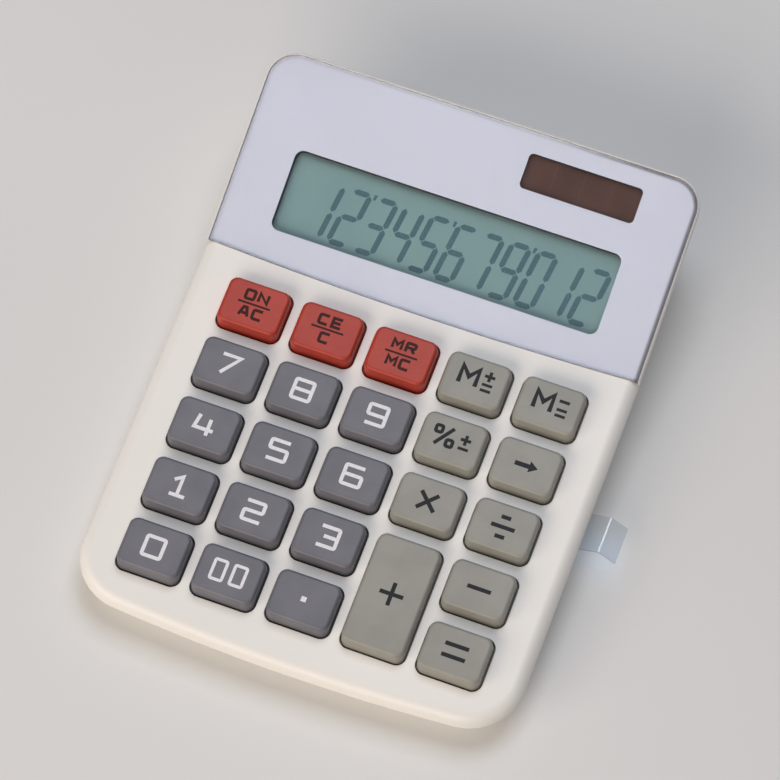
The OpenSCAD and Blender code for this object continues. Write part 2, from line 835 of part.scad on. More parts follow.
module main_board() {
    board_l = board_rear - board_front;
    color("#2f6b46")
        on_deck()
            translate([0, 0, -board_bottom])
                linear_extrude(board_t)
                    difference() {
                        translate([0, board_front + board_l / 2])
                            rounded_rect(board_w, board_l, board_corner_r);
                        meeting_holes(BOARD_SCREWS, pilot_r);
                        meeting_holes(FRONT_SCREWS, boss_r + 2 * slip);
                    }
}

module board_screws() {
    color(steel) at_board_screws() screw(board_screw_l);
}

// Epoxy drop: the cap of a sphere under the board
module chip_cover() {
    ball_r = (chip_r * chip_r + chip_h * chip_h) / (2 * chip_h);
    color("#1c1c1e")
        on_deck()
            translate([chip_column * col_pitch, rear_row_y, -board_bottom])
                difference() {
                    translate([0, 0, ball_r - chip_h]) sphere(ball_r, $fn = 96);
                    translate([-far / 2, -far / 2, 0]) cube(far);
                }
}

module capacitor() {
    color("#2d3f63")
        on_deck()
            translate([cap_column * col_pitch, rear_row_y, -board_bottom - cap_h])
                cylinder(d = cap_d, h = cap_h);
}

module coin_cell() {
    color("#c7c9cc")
        translate([cell_x, cell_y, cell_bottom]) {
            cylinder(r = cell_r, h = cell_t - cell_step);
            cylinder(r = cell_r - 2 * cell_step, h = cell_t);
        }
}

// Negative contact: a leaf soldered under the board that presses on the top of the cell
module cell_spring() {
    foot_y = (cell_y - front_y) / cos(deck_slope);
    under = deck_height(cell_y, board_bottom);
    drop = under - cell_top - tab_t - 2 * touch_gap - contact_w / 2 * tan(deck_slope) - contact_t;
    path = [[-spring_foot, 0], [0, 0], [spring_run, -drop], [spring_run + spring_tip, -drop]];
    color("#d2b777")
        on_deck()
            translate([cell_x, foot_y, -board_bottom - contact_t / 2 - film])
                rotate([90, 0, 0]) linear_extrude(contact_w, center = true) polygon(strip(path, contact_t));
}

// Positive contact: an upright leaf between the cell's rim and the bay wall
module cell_clip() {
    top = deck_height(cell_y - contact_w / 2, board_bottom) - touch_gap;
    color("#d2b777")
        translate([cell_x - cell_r - slip - contact_t, cell_y - contact_w / 2, floor_top + touch_gap])
            cube([contact_t, contact_w, top - floor_top - touch_gap]);
}

module battery_door() {
    inner = cell_x - cell_r - slip;
    color(cream)
        difference() {
            intersection() {
                difference() {
                    deck_block(0, 0, deck_l);
                    deck_block(wall, wall, deck_l - crease_land);
                }
                union() {
                    translate([inner, cell_y - bay_half + door_gap, 0])
                        cube([far, 2 * (bay_half - door_gap), feet_h + door_end_h - door_gap]);
                    translate([inner, cell_y - bay_half - tongue_w + door_gap, tongue_z])
                        cube([cell_x + cell_r - inner, 2 * (bay_half + tongue_w - door_gap), tongue_t]);
                }
            }
            translate([inner - past, cell_y - far / 2, feet_h + door_t])
                cube([cell_x + cell_r + slip - inner + past, far, far]);
        }
}

// Clear film between the cell and its spring, led out through the side and folded
module battery_pull_tab() {
    path = [
        [cell_x - tab_grip, tab_z],
        [half_w - past, tab_z],
        [half_w + tab_fold, tab_z + tab_rise],
        [half_w + tab_reach, tab_z + tab_rise - tab_drop]
    ];
    color("#dfe6ea", 0.4)
        translate([0, cell_y, 0])
            rotate([90, 0, 0]) linear_extrude(tab_w, center = true) polygon(strip(path, tab_t));
}

// Rounded outline of a key cap of the given half size, whose sides lean in
module cap_profile(half, lean) {
    shoulder = key_rise - key_edge_r;
    side = half - lean * shoulder / key_rise;
    polygon([
        [-half, -flange_bottom], [half, -flange_bottom], [half, 0],
        [side, shoulder], [-side, shoulder], [-half, 0]
    ]);
    translate([-side + key_edge_r, shoulder - film])
        square([2 * (side - key_edge_r), key_edge_r + film]);
    for (x = [-1, 1]) translate([x * (side - key_edge_r), shoulder]) circle(key_edge_r);
}

// Hollow cap with a retaining flange under the deck and a plunger in its middle
module key_solid(w, l) {
    lip = 2 * (key_gap + flange_lip);
    inner_r = key_corner_r - key_wall / 2;
    difference() {
        union() {
            intersection() {
                translate([0, 0, -flange_bottom])
                    linear_extrude(flange_bottom + key_rise) rounded_rect(w, l, key_corner_r);
                rotate([90, 0, 0]) linear_extrude(l + past, center = true) cap_profile(w / 2, key_side_lean);
                rotate([90, 0, 90]) linear_extrude(w + past, center = true) cap_profile(l / 2, key_lean);
            }
            translate([0, 0, -flange_bottom])
                linear_extrude(flange_t) rounded_rect(w + lip, l + lip, key_corner_r);
        }
        translate([0, 0, -flange_bottom - past])
            linear_extrude(flange_bottom + past + key_rise - key_wall)
                rounded_rect(w - 2 * (key_wall + key_side_lean), l - 2 * (key_wall + key_lean), inner_r);
    }
    translate([0, 0, -flange_bottom])
        cylinder(r = plunger_r, h = flange_bottom + key_rise - key_wall + film);
}

module key(k) {
    color(k[4]) on_deck() translate([key_x(k), key_y(k), 0]) key_solid(key_w, key_length(k));
}

top_case();
bottom_case();
display_plate();
plate_backing();
lcd_cell();
lcd_retainer();
retainer_screws();
lcd_ribbon();
solar_cell();
solar_leads();
rubber_keypad();
main_board();
board_screws();
chip_cover();
capacitor();
coin_cell();
cell_spring();
cell_clip();
battery_door();
battery_pull_tab();
rubber_feet();
case_screws();
for (k = KEYS) key(k);
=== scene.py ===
"""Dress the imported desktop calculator: shells, keys, display head, battery bay, inside and studio."""
import logging
import math
from dataclasses import dataclass, field
from enum import Enum
from typing import Any, Sequence

import bmesh
import bpy
from mathutils import Matrix, Vector


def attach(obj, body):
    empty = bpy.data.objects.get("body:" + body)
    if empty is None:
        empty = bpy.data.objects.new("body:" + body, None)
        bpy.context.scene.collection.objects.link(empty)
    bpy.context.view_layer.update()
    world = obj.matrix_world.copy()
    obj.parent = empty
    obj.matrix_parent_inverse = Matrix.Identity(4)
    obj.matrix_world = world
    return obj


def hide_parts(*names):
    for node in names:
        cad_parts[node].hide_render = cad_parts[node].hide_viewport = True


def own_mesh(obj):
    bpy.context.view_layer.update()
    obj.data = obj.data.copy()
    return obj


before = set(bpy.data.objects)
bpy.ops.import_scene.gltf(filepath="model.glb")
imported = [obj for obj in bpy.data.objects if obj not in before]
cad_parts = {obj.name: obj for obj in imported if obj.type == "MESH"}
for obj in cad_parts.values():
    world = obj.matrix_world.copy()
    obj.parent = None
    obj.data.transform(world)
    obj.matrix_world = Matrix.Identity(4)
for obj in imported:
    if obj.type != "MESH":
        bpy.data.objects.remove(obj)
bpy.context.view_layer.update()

LOG = logging.getLogger("calculator")

# Metres in a millimetre, and the straight steps that each kind of curve is made of
MM = 0.001
ROUND_STEPS = 10
CORNER_STEPS = 14
FLANK_STEPS = 12
BOW_STEPS = 24
LIP_STEPS = 5
# In millimetres: how far a cutter runs past a face, a length beyond the whole part, and the distance
# under which two points are one
PAST = 1.0
FAR = 400.0
WELD = 0.002

# Sockets of a colour Mix node, whose names repeat
MIX_FACTOR, MIX_A, MIX_B, MIX_OUT = 0, 6, 7, 2

# Settings that many nodes share, and the range that most values of a noise lie in
SMOOTH = {"interpolation_type": "SMOOTHSTEP"}
IN_COLOUR = {"data_type": "RGBA"}
NOISE_LOW, NOISE_HIGH = 0.25, 0.75

Point = tuple[float, float]
Ring = list[Vector]
Colour = tuple[float, float, float, float]
Tree = bpy.types.NodeTree
Socket = bpy.types.NodeSocket
Node = bpy.types.Node
Piece = bpy.types.Object


def to_linear(code: str) -> Colour:
    """Turn an sRGB hex colour into the linear colour that shaders take.

    Args:
        code: colour such as "#e6ddd2".

    Returns:
        Linear red, green and blue with an alpha of one.
    """
    shares = [int(code[i:i + 2], 16) / 255 for i in (1, 3, 5)]
    linear = [s / 12.92 if s <= 0.04045 else ((s + 0.055) / 1.055) ** 2.4 for s in shares]
    return linear[0], linear[1], linear[2], 1.0


def add_node(tree: Tree, kind: str, settings: dict[str, Any] | None = None,
             inputs: dict[Any, Any] | None = None) -> Node:
    """Add one node, with its settings, and set or link its inputs.

    Args:
        tree: node tree of a material, the world or a Geometry Nodes group.
        kind: Blender's name of the node type.
        settings: properties of the node.
        inputs: for each input's name or number, a value or the socket to link.

    Returns:
        The new node.
    """
    node = tree.nodes.new(kind)
    for name, value in (settings or {}).items():
        setattr(node, name, value)
    for key, value in (inputs or {}).items():
        if isinstance(value, Socket):
            tree.links.new(value, node.inputs[key])
        else:
            node.inputs[key].default_value = value
    return node


# Sizes and frames of the case


@dataclass(frozen=True)
class Slope:
    """A sloped face of the case, with its own x, its y up the slope and its height, in millimetres."""

    start_y: float
    start_z: float
    angle: float

    def at(self, x: float, y: float, z: float) -> Vector:
        """Give the place of a point of the face in the part's frame.

        Args:
            x: across the face, in millimetres.
            y: up its slope.
            z: height above it.

        Returns:
            The place in millimetres.
        """
        turn = math.radians(self.angle)
        return Vector((x,
                       self.start_y + y * math.cos(turn) - z * math.sin(turn),
                       self.start_z + y * math.sin(turn) + z * math.cos(turn)))

    def coordinates(self, tree: Tree) -> bpy.types.NodeOutputs:
        """Give a material the millimetre coordinates of this face.

        Args:
            tree: the material's node tree.

        Returns:
            Sockets named X, Y up the slope and Z for the height.
        """
        coords = add_node(tree, "ShaderNodeTexCoord")
        mapping = add_node(tree, "ShaderNodeMapping", {"vector_type": "TEXTURE"}, {
            "Vector": coords.outputs["Object"],
            "Location": (0.0, self.start_y * MM, self.start_z * MM),
            "Rotation": (math.radians(self.angle), 0.0, 0.0),
            "Scale": (MM, MM, MM),
        })
        return add_node(tree, "ShaderNodeSeparateXYZ", None, {0: mapping.outputs["Vector"]}).outputs


@dataclass(frozen=True)
class CaseSizes:
    """Driving sizes of the case in millimetres and degrees, the same as in the part's source."""

    width: float = 112.0
    deck_l: float = 95.2
    head_l: float = 52.7
    front_h: float = 11.0
    deck_slope: float = 4.0
    head_slope: float = 18.0
    front_corner_r: float = 14.0
    rear_corner_r: float = 7.8
    front_bow_r: float = 550.0
    deck_edge_r: float = 3.2
    undercut: float = 5.0
    floor_edge_r: float = 1.2
    wall: float = 2.0
    parting_depth: float = 6.0
    parting_gap: float = 0.16
    feet_h: float = 1.0
    plate_t: float = 2.0
    plate_edge_r: float = 1.0
    flank_step: float = 0.4
    backing_t: float = 0.2
    rim_w: float = 0.45
    rim_gap: float = 0.05
    print_inset: float = 0.6
    seam_bow_r: float = 1100.0
    seam_s: float = 0.2
    touch_gap: float = 0.1
    slip: float = 0.3
    block_lap: float = 3.2
    crease_land: float = 3.0
    cavity_lap: float = 2.5

    @property
    def half_w(self) -> float:
        """Half the width of the case."""
        return self.width / 2

    @property
    def deck_run(self) -> float:
        """Length of the key deck seen from above."""
        return self.deck_l * math.cos(math.radians(self.deck_slope))

    @property
    def head_run(self) -> float:
        """Length of the display head seen from above."""
        return self.head_l * math.cos(math.radians(self.head_slope))

    @property
    def case_l(self) -> float:
        """Length of the whole case seen from above."""
        return self.deck_run + self.head_run

    @property
    def front_y(self) -> float:
        """Place of the front edge, with the middle of the footprint at zero."""
        return -self.case_l / 2

    @property
    def seat_depth(self) -> float:
        """Depth of the display plate's seat below the head's surface."""
        return self.plate_t + self.backing_t

    @property
    def deck(self) -> Slope:
        """The key deck, starting at the front edge."""
        return Slope(self.front_y, self.front_h, self.deck_slope)

    @property
    def head(self) -> Slope:
        """The display head, starting at the crease behind the key deck."""
        crease = self.deck.at(0.0, self.deck_l, 0.0)
        return Slope(crease.y, crease.z, self.head_slope)


@dataclass(frozen=True)
class KeySizes:
    """Sizes of the key field in millimetres, the same as in the part's source."""

    columns: int = 5
    rows: int = 5
    col_pitch: float = 19.0
    row_pitch: float = 16.45
    first_row: float = 17.0
    wide: float = 15.8
    long: float = 12.8
    rise: float = 3.8
    corner_r: float = 2.1
    edge_r: float = 0.9
    lean: float = 0.5
    side_lean: float = 0.1
    wall: float = 1.2
    gap: float = 0.45
    lip_r: float = 0.2
    flange_lip: float = 0.4
    flange_top: float = 2.1
    flange_bottom: float = 3.0
    plunger_r: float = 2.4
    travel: float = 2.0
    board_bottom: float = 7.6
    print_t: float = 0.03
    board_screws: tuple[Point, ...] = ((-1.5, 1.5), (1.5, 1.5), (0.5, 0.5), (-0.5, -0.5), (-1.5, -1.5))
    case_screws: tuple[Point, ...] = ((-1.5, -0.5), (1.5, -0.5))

    @property
    def middle_row(self) -> float:
        """Place of the middle row up the deck."""
        return self.first_row + (self.rows - 1) / 2 * self.row_pitch

    def between(self, place: Point) -> Point:
        """Give the spot on the deck of a place counted in columns and rows from the middle key."""
        return place[0] * self.col_pitch, self.middle_row + place[1] * self.row_pitch


@dataclass(frozen=True)
class Window:
    """A rounded window in the head: width, length up the head, corner radius and middle."""

    wide: float
    long: float
    r: float
    x: float
    s: float

    def outline(self, grow: float = 0.0) -> list[Point]:
        """Give the window's outline, grown on all sides."""
        return rounded_rect(self.wide + 2 * grow, self.long + 2 * grow, self.r + grow, self.x, self.s)


@dataclass(frozen=True)
class HeadSizes:
    """The display and solar windows and the cells behind them, the same as in the part's source."""

    lcd: Window = Window(84.4, 20.8, 2.2, 0.0, 19.4)
    lcd_lap: float = 3.2
    lcd_t: float = 2.2
    solar: Window = Window(29.3, 9.0, 1.2, 27.0, 42.3)
    solar_lap: float = 1.8
    solar_t: float = 1.2


@dataclass(frozen=True)
class BaySizes:
    """Sizes of the battery bay, its door and the pull tab in millimetres, as in the part's source."""

    cell_x: float = 37.0
    cell_y: float = -12.2445
    cell_r: float = 10.0
    cell_top: float = 5.85
    cell_wall: float = 1.2
    contact_t: float = 0.4
    door_t: float = 1.4
    door_end_h: float = 3.0
    door_gap: float = 0.25
    tongue_w: float = 1.0
    tongue_t: float = 0.7
    tab_w: float = 9.6
    tab_t: float = 0.19
    tab_grip: float = 5.0
    tab_fold: float = 4.5
    tab_reach: float = 8.6
    tab_rise: float = 2.0
    tab_drop: float = 3.4


CASE = CaseSizes()
KEYPAD = KeySizes()
WINDOWS = HeadSizes()
BAY = BaySizes()


# Outlines, in millimetres


def arc(x: float, y: float, r: float, start: float, end: float, steps: int) -> list[Point]:
    """Give points along an arc.

    Args:
        x: centre of the arc.
        y: centre of the arc.
        r: radius.
        start: first angle in degrees.
        end: last angle in degrees.
        steps: number of straight steps.

    Returns:
        The points, both ends among them.
    """
    angles = [math.radians(start + (end - start) * i / steps) for i in range(steps + 1)]
    return [(x + r * math.cos(a), y + r * math.sin(a)) for a in angles]


def full_circle(x: float, y: float, r: float, steps: int) -> list[Point]:
    """Give points once round a circle."""
    return arc(x, y, r, 0, 360, steps)[:-1]


def rounded_rect(wide: float, long: float, r: float, x: float = 0.0, y: float = 0.0) -> list[Point]:
    """Give the outline of a rectangle with rounded corners.

    Args:
        wide: width.
        long: length along y.
        r: corner radius.
        x: middle.
        y: middle.

    Returns:
        The points, in the turning sense of an arc with rising angles.
    """
    points: list[Point] = []
    for turn, (sx, sy) in enumerate(((1, 1), (-1, 1), (-1, -1), (1, -1))):
        points += arc(x + sx * (wide / 2 - r), y + sy * (long / 2 - r), r,
                      90 * turn, 90 * turn + 90, CORNER_STEPS)
    return points


def deck_outline(inset: float, end: float) -> list[Point]:
    """Give the outline of the key deck, from its bowed front edge to a square end.

    Args:
        inset: how far inside the deck's own edge it lies.
        end: y of the square end.

    Returns:
        The points, starting at the left corner.
    """
    r = CASE.front_corner_r
    bow_r = CASE.front_bow_r
    corner_x = CASE.half_w - r
    corner_y = bow_r - math.sqrt((bow_r - r) ** 2 - corner_x ** 2)
    turn = math.degrees(math.atan2(corner_x, bow_r - corner_y))
    points = arc(-corner_x, corner_y, r - inset, 180, 270 - turn, CORNER_STEPS)
    points += arc(0, bow_r, bow_r - inset, 270 - turn, 270 + turn, BOW_STEPS)[1:-1]
    points += arc(corner_x, corner_y, r - inset, 270 + turn, 360, CORNER_STEPS)
    return points + [(CASE.half_w - inset, end), (-CASE.half_w + inset, end)]


def head_rear(inset: float, end: float) -> list[Point]:
    """Give the rear part of the head's outline, round its two rounded corners.

    Args:
        inset: how far inside the head's own edge it lies.
        end: y of the head's rear edge.

    Returns:
        The points from right to left.
    """
    r = CASE.rear_corner_r
    side = CASE.half_w - r
    points = arc(side, end - r, r - inset, 0, 90, CORNER_STEPS)
    return points + arc(-side, end - r, r - inset, 90, 180, CORNER_STEPS)


def seam_y(x: float) -> float:
    """Give how far up the head the bowed seam lies at x."""
    return CASE.seam_s + CASE.seam_bow_r - math.sqrt(CASE.seam_bow_r ** 2 - x * x)


def seam_points(side: float, gap: float) -> list[Point]:
    """Give points along the bowed seam from -side to side, moved back by gap."""
    xs = [-side + 2 * side * i / BOW_STEPS for i in range(BOW_STEPS + 1)]
    return [(x, seam_y(x) + gap) for x in xs]


def quarter(r: float, steps: int = ROUND_STEPS) -> list[tuple[float, float]]:
    """Give inset and depth along a rounded edge, from its upright side up to its flat top."""
    angles = [math.radians(90 - 90 * i / steps) for i in range(steps + 1)]
    return [(r * (1 - math.sin(a)), r * (1 - math.cos(a))) for a in angles]


def split_flanks(rings: Sequence[Ring]) -> list[Ring]:
    """Split the long flanks of matching rings alike, because one long twisted face can't be cut cleanly.

    Args:
        rings: rings of equal length.

    Returns:
        The rings with points added along their flanks.
    """
    count = len(rings[0])
    sides = [rings[0][(i + 1) % count] - rings[0][i] for i in range(count)]
    steps = [FLANK_STEPS if abs(side.y) > CASE.rear_corner_r else 1 for side in sides]
    places = [(i, k / steps[i]) for i in range(count) for k in range(steps[i])]
    return [[ring[i].lerp(ring[(i + 1) % count], share) for i, share in places] for ring in rings]


# Meshes under construction, in millimetres


class Shape:
    """A closed mesh under construction in the part's frame, in millimetres."""

    def __init__(self) -> None:
        """Start with nothing."""
        self.mesh = bmesh.new()

    def loft(self, rings: Sequence[Ring], looped: bool = False) -> "Shape":
        """Join rings of equal length into a tube, closed at both ends or into a loop.

        Args:
            rings: rings of points, all in the same turning sense.
            looped: whether the last ring joins the first.

        Returns:
            This shape.
        """
        bands = [[self.mesh.verts.new(p) for p in ring] for ring in rings]
        pairs = list(zip(bands, bands[1:]))
        if looped:
            pairs.append((bands[-1], bands[0]))
        faces = []
        for low, high in pairs:
            for i in range(len(low)):
                j = (i + 1) % len(low)
                faces.append(self.mesh.faces.new((low[i], low[j], high[j], high[i])))
        if not looped:
            faces.append(self.mesh.faces.new(list(reversed(bands[0]))))
            faces.append(self.mesh.faces.new(bands[-1]))
        bmesh.ops.recalc_face_normals(self.mesh, faces=faces)
        return self

    def prism(self, slope: Slope, outline: Sequence[Point], low: float, high: float) -> "Shape":
        """Raise an outline on a sloped face from one height to another."""
        return self.loft([[slope.at(x, y, z) for x, y in outline] for z in (low, high)])

    def block(self, low: Sequence[float], high: Sequence[float]) -> "Shape":
        """Add an upright box between two corners."""
        outline = ((low[0], low[1]), (high[0], low[1]), (high[0], high[1]), (low[0], high[1]))
        return self.loft([[Vector((x, y, z)) for x, y in outline] for z in (low[2], high[2])])

    def post(self, x: float, y: float, r: float, low: float, high: float, steps: int = 48) -> "Shape":
        """Add an upright cylinder."""
        outline = full_circle(x, y, r, steps)
        return self.loft([[Vector((px, py, z)) for px, py in outline] for z in (low, high)])

    def piece(self, name: str) -> Piece:
        """Make a scene object of this shape, which is used up.

        Args:
            name: name of the object.

        Returns:
            The object, still in millimetres.
        """
        data = bpy.data.meshes.new(name)
        self.mesh.to_mesh(data)
        self.mesh.free()
        piece = bpy.data.objects.new(name, data)
        bpy.context.scene.collection.objects.link(piece)
        return piece


def settle(piece: Piece) -> None:
    """Apply all modifiers of a piece, leaving one plain mesh.

    Args:
        piece: the object to change.
    """
    graph = bpy.context.evaluated_depsgraph_get()
    data = bpy.data.meshes.new_from_object(piece.evaluated_get(graph), depsgraph=graph)
    old = piece.data
    piece.modifiers.clear()
    piece.data = data
    bpy.data.meshes.remove(old)
    data.name = piece.name


class Join(Enum):
    """How one solid is combined with another."""

    ADD = "UNION"
    CUT = "DIFFERENCE"
    SHARE = "INTERSECT"


def combine(piece: Piece, shape: Shape, join: Join) -> None:
    """Add a shape to a piece, or take it away, or keep what they share.

    Args:
        piece: the object to change.
        shape: the other solid, which is used up.
        join: which of the three.
    """
    tool = shape.piece("tool")
    step = piece.modifiers.new("combine", "BOOLEAN")
    step.operation = join.value
    step.solver = "EXACT"
    step.object = tool
    settle(piece)
    bpy.data.meshes.remove(tool.data)
    # Points that a cut leaves on top of each other would open the next cut
    mesh = bmesh.new()
    mesh.from_mesh(piece.data)
    bmesh.ops.remove_doubles(mesh, verts=mesh.verts, dist=WELD)
    bmesh.ops.dissolve_degenerate(mesh, edges=mesh.edges, dist=WELD)
    mesh.to_mesh(piece.data)
    mesh.free()


def finish_piece(piece: Piece, body: str, finishes: Sequence["Finish"],
                 nodes: Sequence[str] = (), smooth: float = 32.0) -> Piece:
    """Bring a piece to metres, shade it, give it its materials and tie it to the frame.

    Args:
        piece: object in millimetres at the origin.
        body: body of the frame that it rides on.
        finishes: finishes in the order of the mesh's material numbers.
        nodes: CAD nodes that the piece stands for.
        smooth: edges sharper than this many degrees stay sharp.

    Returns:
        The same object.
    """
    piece.data.transform(Matrix.Scale(MM, 4))
    if not piece.data.materials:
        for finish in finishes:
            piece.data.materials.append(finish.material())
    piece.data.shade_smooth()
    piece.data.set_sharp_from_angle(angle=math.radians(smooth))
    flow = piece.modifiers.new("flow", "WEIGHTED_NORMAL")
    flow.keep_sharp = True
    settle(piece)
    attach(piece, body)
    if nodes:
        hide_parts(*nodes)
    LOG.info("%s: %d faces on %s", piece.name, len(piece.data.polygons), body)
    return piece


# Finishes


@dataclass(frozen=True)
class Finish:
    """A finish that makes its material once."""

    name: str

    def material(self) -> bpy.types.Material:
        """Give the material, built on the first call.

        Returns:
            The material.
        """
        known = bpy.data.materials.get(self.name)
        if known:
            return known
        made = bpy.data.materials.new(self.name)
        made.use_nodes = True
        tree = made.node_tree
        tree.nodes.clear()
        output = add_node(tree, "ShaderNodeOutputMaterial")
        shader = add_node(tree, "ShaderNodeBsdfPrincipled")
        tree.links.new(shader.outputs[0], output.inputs["Surface"])
        self.dress(tree, shader)
        return made

    def dress(self, tree: Tree, shader: Node) -> None:
        """Set the shader up; each finish has its own way."""
        raise NotImplementedError

    def patches(self, tree: Tree, size: float, detail: float = 2.0) -> Socket:
        """Add soft noise whose patches are about size millimetres across.

        Args:
            tree: the material's node tree.
            size: patch size in millimetres.
            detail: how many finer layers are added.

        Returns:
            Socket with values round one half.
        """
        coords = add_node(tree, "ShaderNodeTexCoord")
        noise = add_node(tree, "ShaderNodeTexNoise", None, {
            "Vector": coords.outputs["Object"], "Scale": 1 / (size * MM), "Detail": detail})
        return noise.outputs["Fac"]

    def vary(self, tree: Tree, factor: Socket, low: str, high: str,
             spread: tuple[float, float] = (0.3, 0.7)) -> Socket:
        """Blend two hex colours by a factor.

        Args:
            tree: the material's node tree.
            factor: socket that drives the blend.
            low: colour at the lower end of spread.
            high: colour at its upper end.
            spread: range of the factor over which the colour changes.

        Returns:
            Colour socket.
        """
        share = add_node(tree, "ShaderNodeMapRange", SMOOTH, {
            "Value": factor, "From Min": spread[0], "From Max": spread[1]})
        mix = add_node(tree, "ShaderNodeMix", IN_COLOUR, {
            MIX_FACTOR: share.outputs[0], MIX_A: to_linear(low), MIX_B: to_linear(high)})
        return mix.outputs[MIX_OUT]

    def roughen(self, tree: Tree, shader: Node, factor: Socket,
                low: float, high: float) -> None:
        """Let the roughness run between two values with a factor.

        Args:
            tree: the material's node tree.
            shader: its main shader.
            factor: socket with a noise.
            low: roughness at the lower end of the noise.
            high: roughness at its upper end.
        """
        rough = add_node(tree, "ShaderNodeMapRange", None, {
            "Value": factor, "From Min": NOISE_LOW, "From Max": NOISE_HIGH,
            "To Min": low, "To Max": high})
        tree.links.new(rough.outputs[0], shader.inputs["Roughness"])

    def emboss(self, tree: Tree, shader: Node, height: Socket,
               depth: float) -> None:
        """Raise the surface by a height pattern.

        Args:
            tree: the material's node tree.
            shader: its main shader.
            height: socket with the pattern.
            depth: millimetres from low to high.
        """
        bump = add_node(tree, "ShaderNodeBump", None, {
            "Height": height, "Strength": 1.0, "Distance": depth * MM})
        tree.links.new(bump.outputs[0], shader.inputs["Normal"])


@dataclass(frozen=True)
class MouldedPlastic(Finish):
    """Injection-moulded ABS: the spark-eroded mould leaves a fine matt grain and faint flow tones."""

    low: str = "#000000"
    high: str = "#000000"
    rough: float = 0.5
    grain: float = 0.5
    depth: float = 0.004
    flow: float = 26.0
    spread: float = 0.06
    grain_layers: float = 3.0

    def dress(self, tree: Tree, shader: Node) -> None:
        """Blend two close tones over the flow marks and roughen with the mould's grain.

        Args:
            tree: the material's node tree.
            shader: its main shader.
        """
        flow = self.patches(tree, self.flow)
        # The real grain is about 0.1 mm and drawn coarser, so that it shows
        grain = self.patches(tree, self.grain, self.grain_layers)
        tree.links.new(self.vary(tree, flow, self.low, self.high), shader.inputs["Base Color"])
        self.roughen(tree, shader, grain, self.rough - self.spread, self.rough + self.spread)
        self.emboss(tree, shader, grain, self.depth)


@dataclass(frozen=True)
class ClearPlastic(Finish):
    """Clear cast sheet or film: hard gloss, faint haze from handling, lamps shine through it."""

    tint: str = "#fdfdff"
    ior: float = 1.49
    haze: float = 0.02
    wave: float = 18.0

    def dress(self, tree: Tree, shader: Node) -> None:
        """Refract what is seen, and let lamp light pass straight, as thin clear plastic does.

        Args:
            tree: the material's node tree.
            shader: its main shader.
        """
        smear = self.patches(tree, self.wave)
        shader.inputs["Base Color"].default_value = to_linear(self.tint)
        shader.inputs["Transmission Weight"].default_value = 1.0
        shader.inputs["IOR"].default_value = self.ior
        self.roughen(tree, shader, smear, 0.0, 2 * self.haze)
        path = add_node(tree, "ShaderNodeLightPath")
        through = add_node(tree, "ShaderNodeBsdfTransparent", None, {"Color": to_linear(self.tint)})
        both = add_node(tree, "ShaderNodeMixShader", None, {
            0: path.outputs["Is Shadow Ray"], 1: shader.outputs[0], 2: through.outputs[0]})
        output = next(n for n in tree.nodes if n.type == "OUTPUT_MATERIAL")
        tree.links.new(both.outputs[0], output.inputs["Surface"])


@dataclass(frozen=True)
class PanelPrint(Finish):
    """Screen-printed back of the display plate: pale lavender ink, with painted shade and a painted dark
    reflection along its rim, wider on the right side.
    """

    low: str = "#a3a8b1"
    high: str = "#a6abb4"
    # The rim colour is painted shade and painted dark reflection at the plate's edge; the widths and
    # shares below set where it is painted
    rim: str = "#3a393f"
    rim_w: float = 0.3
    painted_right_band_w: float = 1.3
    shade_w: float = 1.4
    painted_shade_share: float = 0.35
    painted_right_band_share: float = 0.95
    patch: float = 40.0
    rough: float = 0.55

    def dress(self, tree: Tree, shader: Node) -> None:
        """Darken the ink with painted shade and painted dark reflection by its distance from the rounded
        outline of the head.

        Args:
            tree: the material's node tree.
            shader: its main shader.
        """
        place = CASE.head.coordinates(tree)
        side = add_node(tree, "ShaderNodeMath", {"operation": "ABSOLUTE"}, {0: place["X"]})
        r = CASE.rear_corner_r
        corner = add_node(tree, "ShaderNodeCombineXYZ")
        for axis, along, start in (("X", side.outputs[0], CASE.half_w - r),
                                   ("Y", place["Y"], CASE.head_l - r)):
            past = add_node(tree, "ShaderNodeMath", {"operation": "SUBTRACT"}, {0: along, 1: start})
            out = add_node(tree, "ShaderNodeMath", {"operation": "MAXIMUM"}, {
                0: past.outputs[0], 1: 0.0})
            tree.links.new(out.outputs[0], corner.inputs[axis])
        reach = add_node(tree, "ShaderNodeVectorMath", {"operation": "LENGTH"}, {0: corner.outputs[0]})
        ink = self.vary(tree, self.patches(tree, self.patch), self.low, self.high)
        edge = r - CASE.print_inset
        # Painted shade: the ink darkens over a few millimetres inward from the sides and rear
        soft = add_node(tree, "ShaderNodeMapRange", SMOOTH, {
            "Value": reach.outputs["Value"], "From Min": edge - self.shade_w, "From Max": edge,
            "To Min": 0.0, "To Max": self.painted_shade_share})
        # Painted dark reflection: a thin dark line along the plate's edge
        line = add_node(tree, "ShaderNodeMapRange", SMOOTH, {
            "Value": reach.outputs["Value"],
            "From Min": edge - self.rim_w, "From Max": edge - self.rim_w / 2})
        # Painted dark reflection of the plate's side edge, on the right side only
        painted_right_band = add_node(tree, "ShaderNodeMapRange", SMOOTH, {
            "Value": reach.outputs["Value"],
            "From Min": edge - self.painted_right_band_w, "From Max": edge - self.rim_w,
            "To Min": 0.0, "To Max": self.painted_right_band_share})
        at_right = add_node(tree, "ShaderNodeMapRange", SMOOTH, {
            "Value": place["X"], "From Min": 0.0, "From Max": CASE.half_w - r})
        right = add_node(tree, "ShaderNodeMath", {"operation": "MULTIPLY"}, {
            0: painted_right_band.outputs[0], 1: at_right.outputs[0]})
        dark = add_node(tree, "ShaderNodeMath", {"operation": "MAXIMUM"}, {
            0: soft.outputs[0], 1: line.outputs[0]})
        darkest = add_node(tree, "ShaderNodeMath", {"operation": "MAXIMUM"}, {
            0: dark.outputs[0], 1: right.outputs[0]})
        mix = add_node(tree, "ShaderNodeMix", IN_COLOUR, {
            MIX_FACTOR: darkest.outputs[0], MIX_A: ink, MIX_B: to_linear(self.rim)})
        tree.links.new(mix.outputs[MIX_OUT], shader.inputs["Base Color"])
        shader.inputs["Roughness"].default_value = self.rough


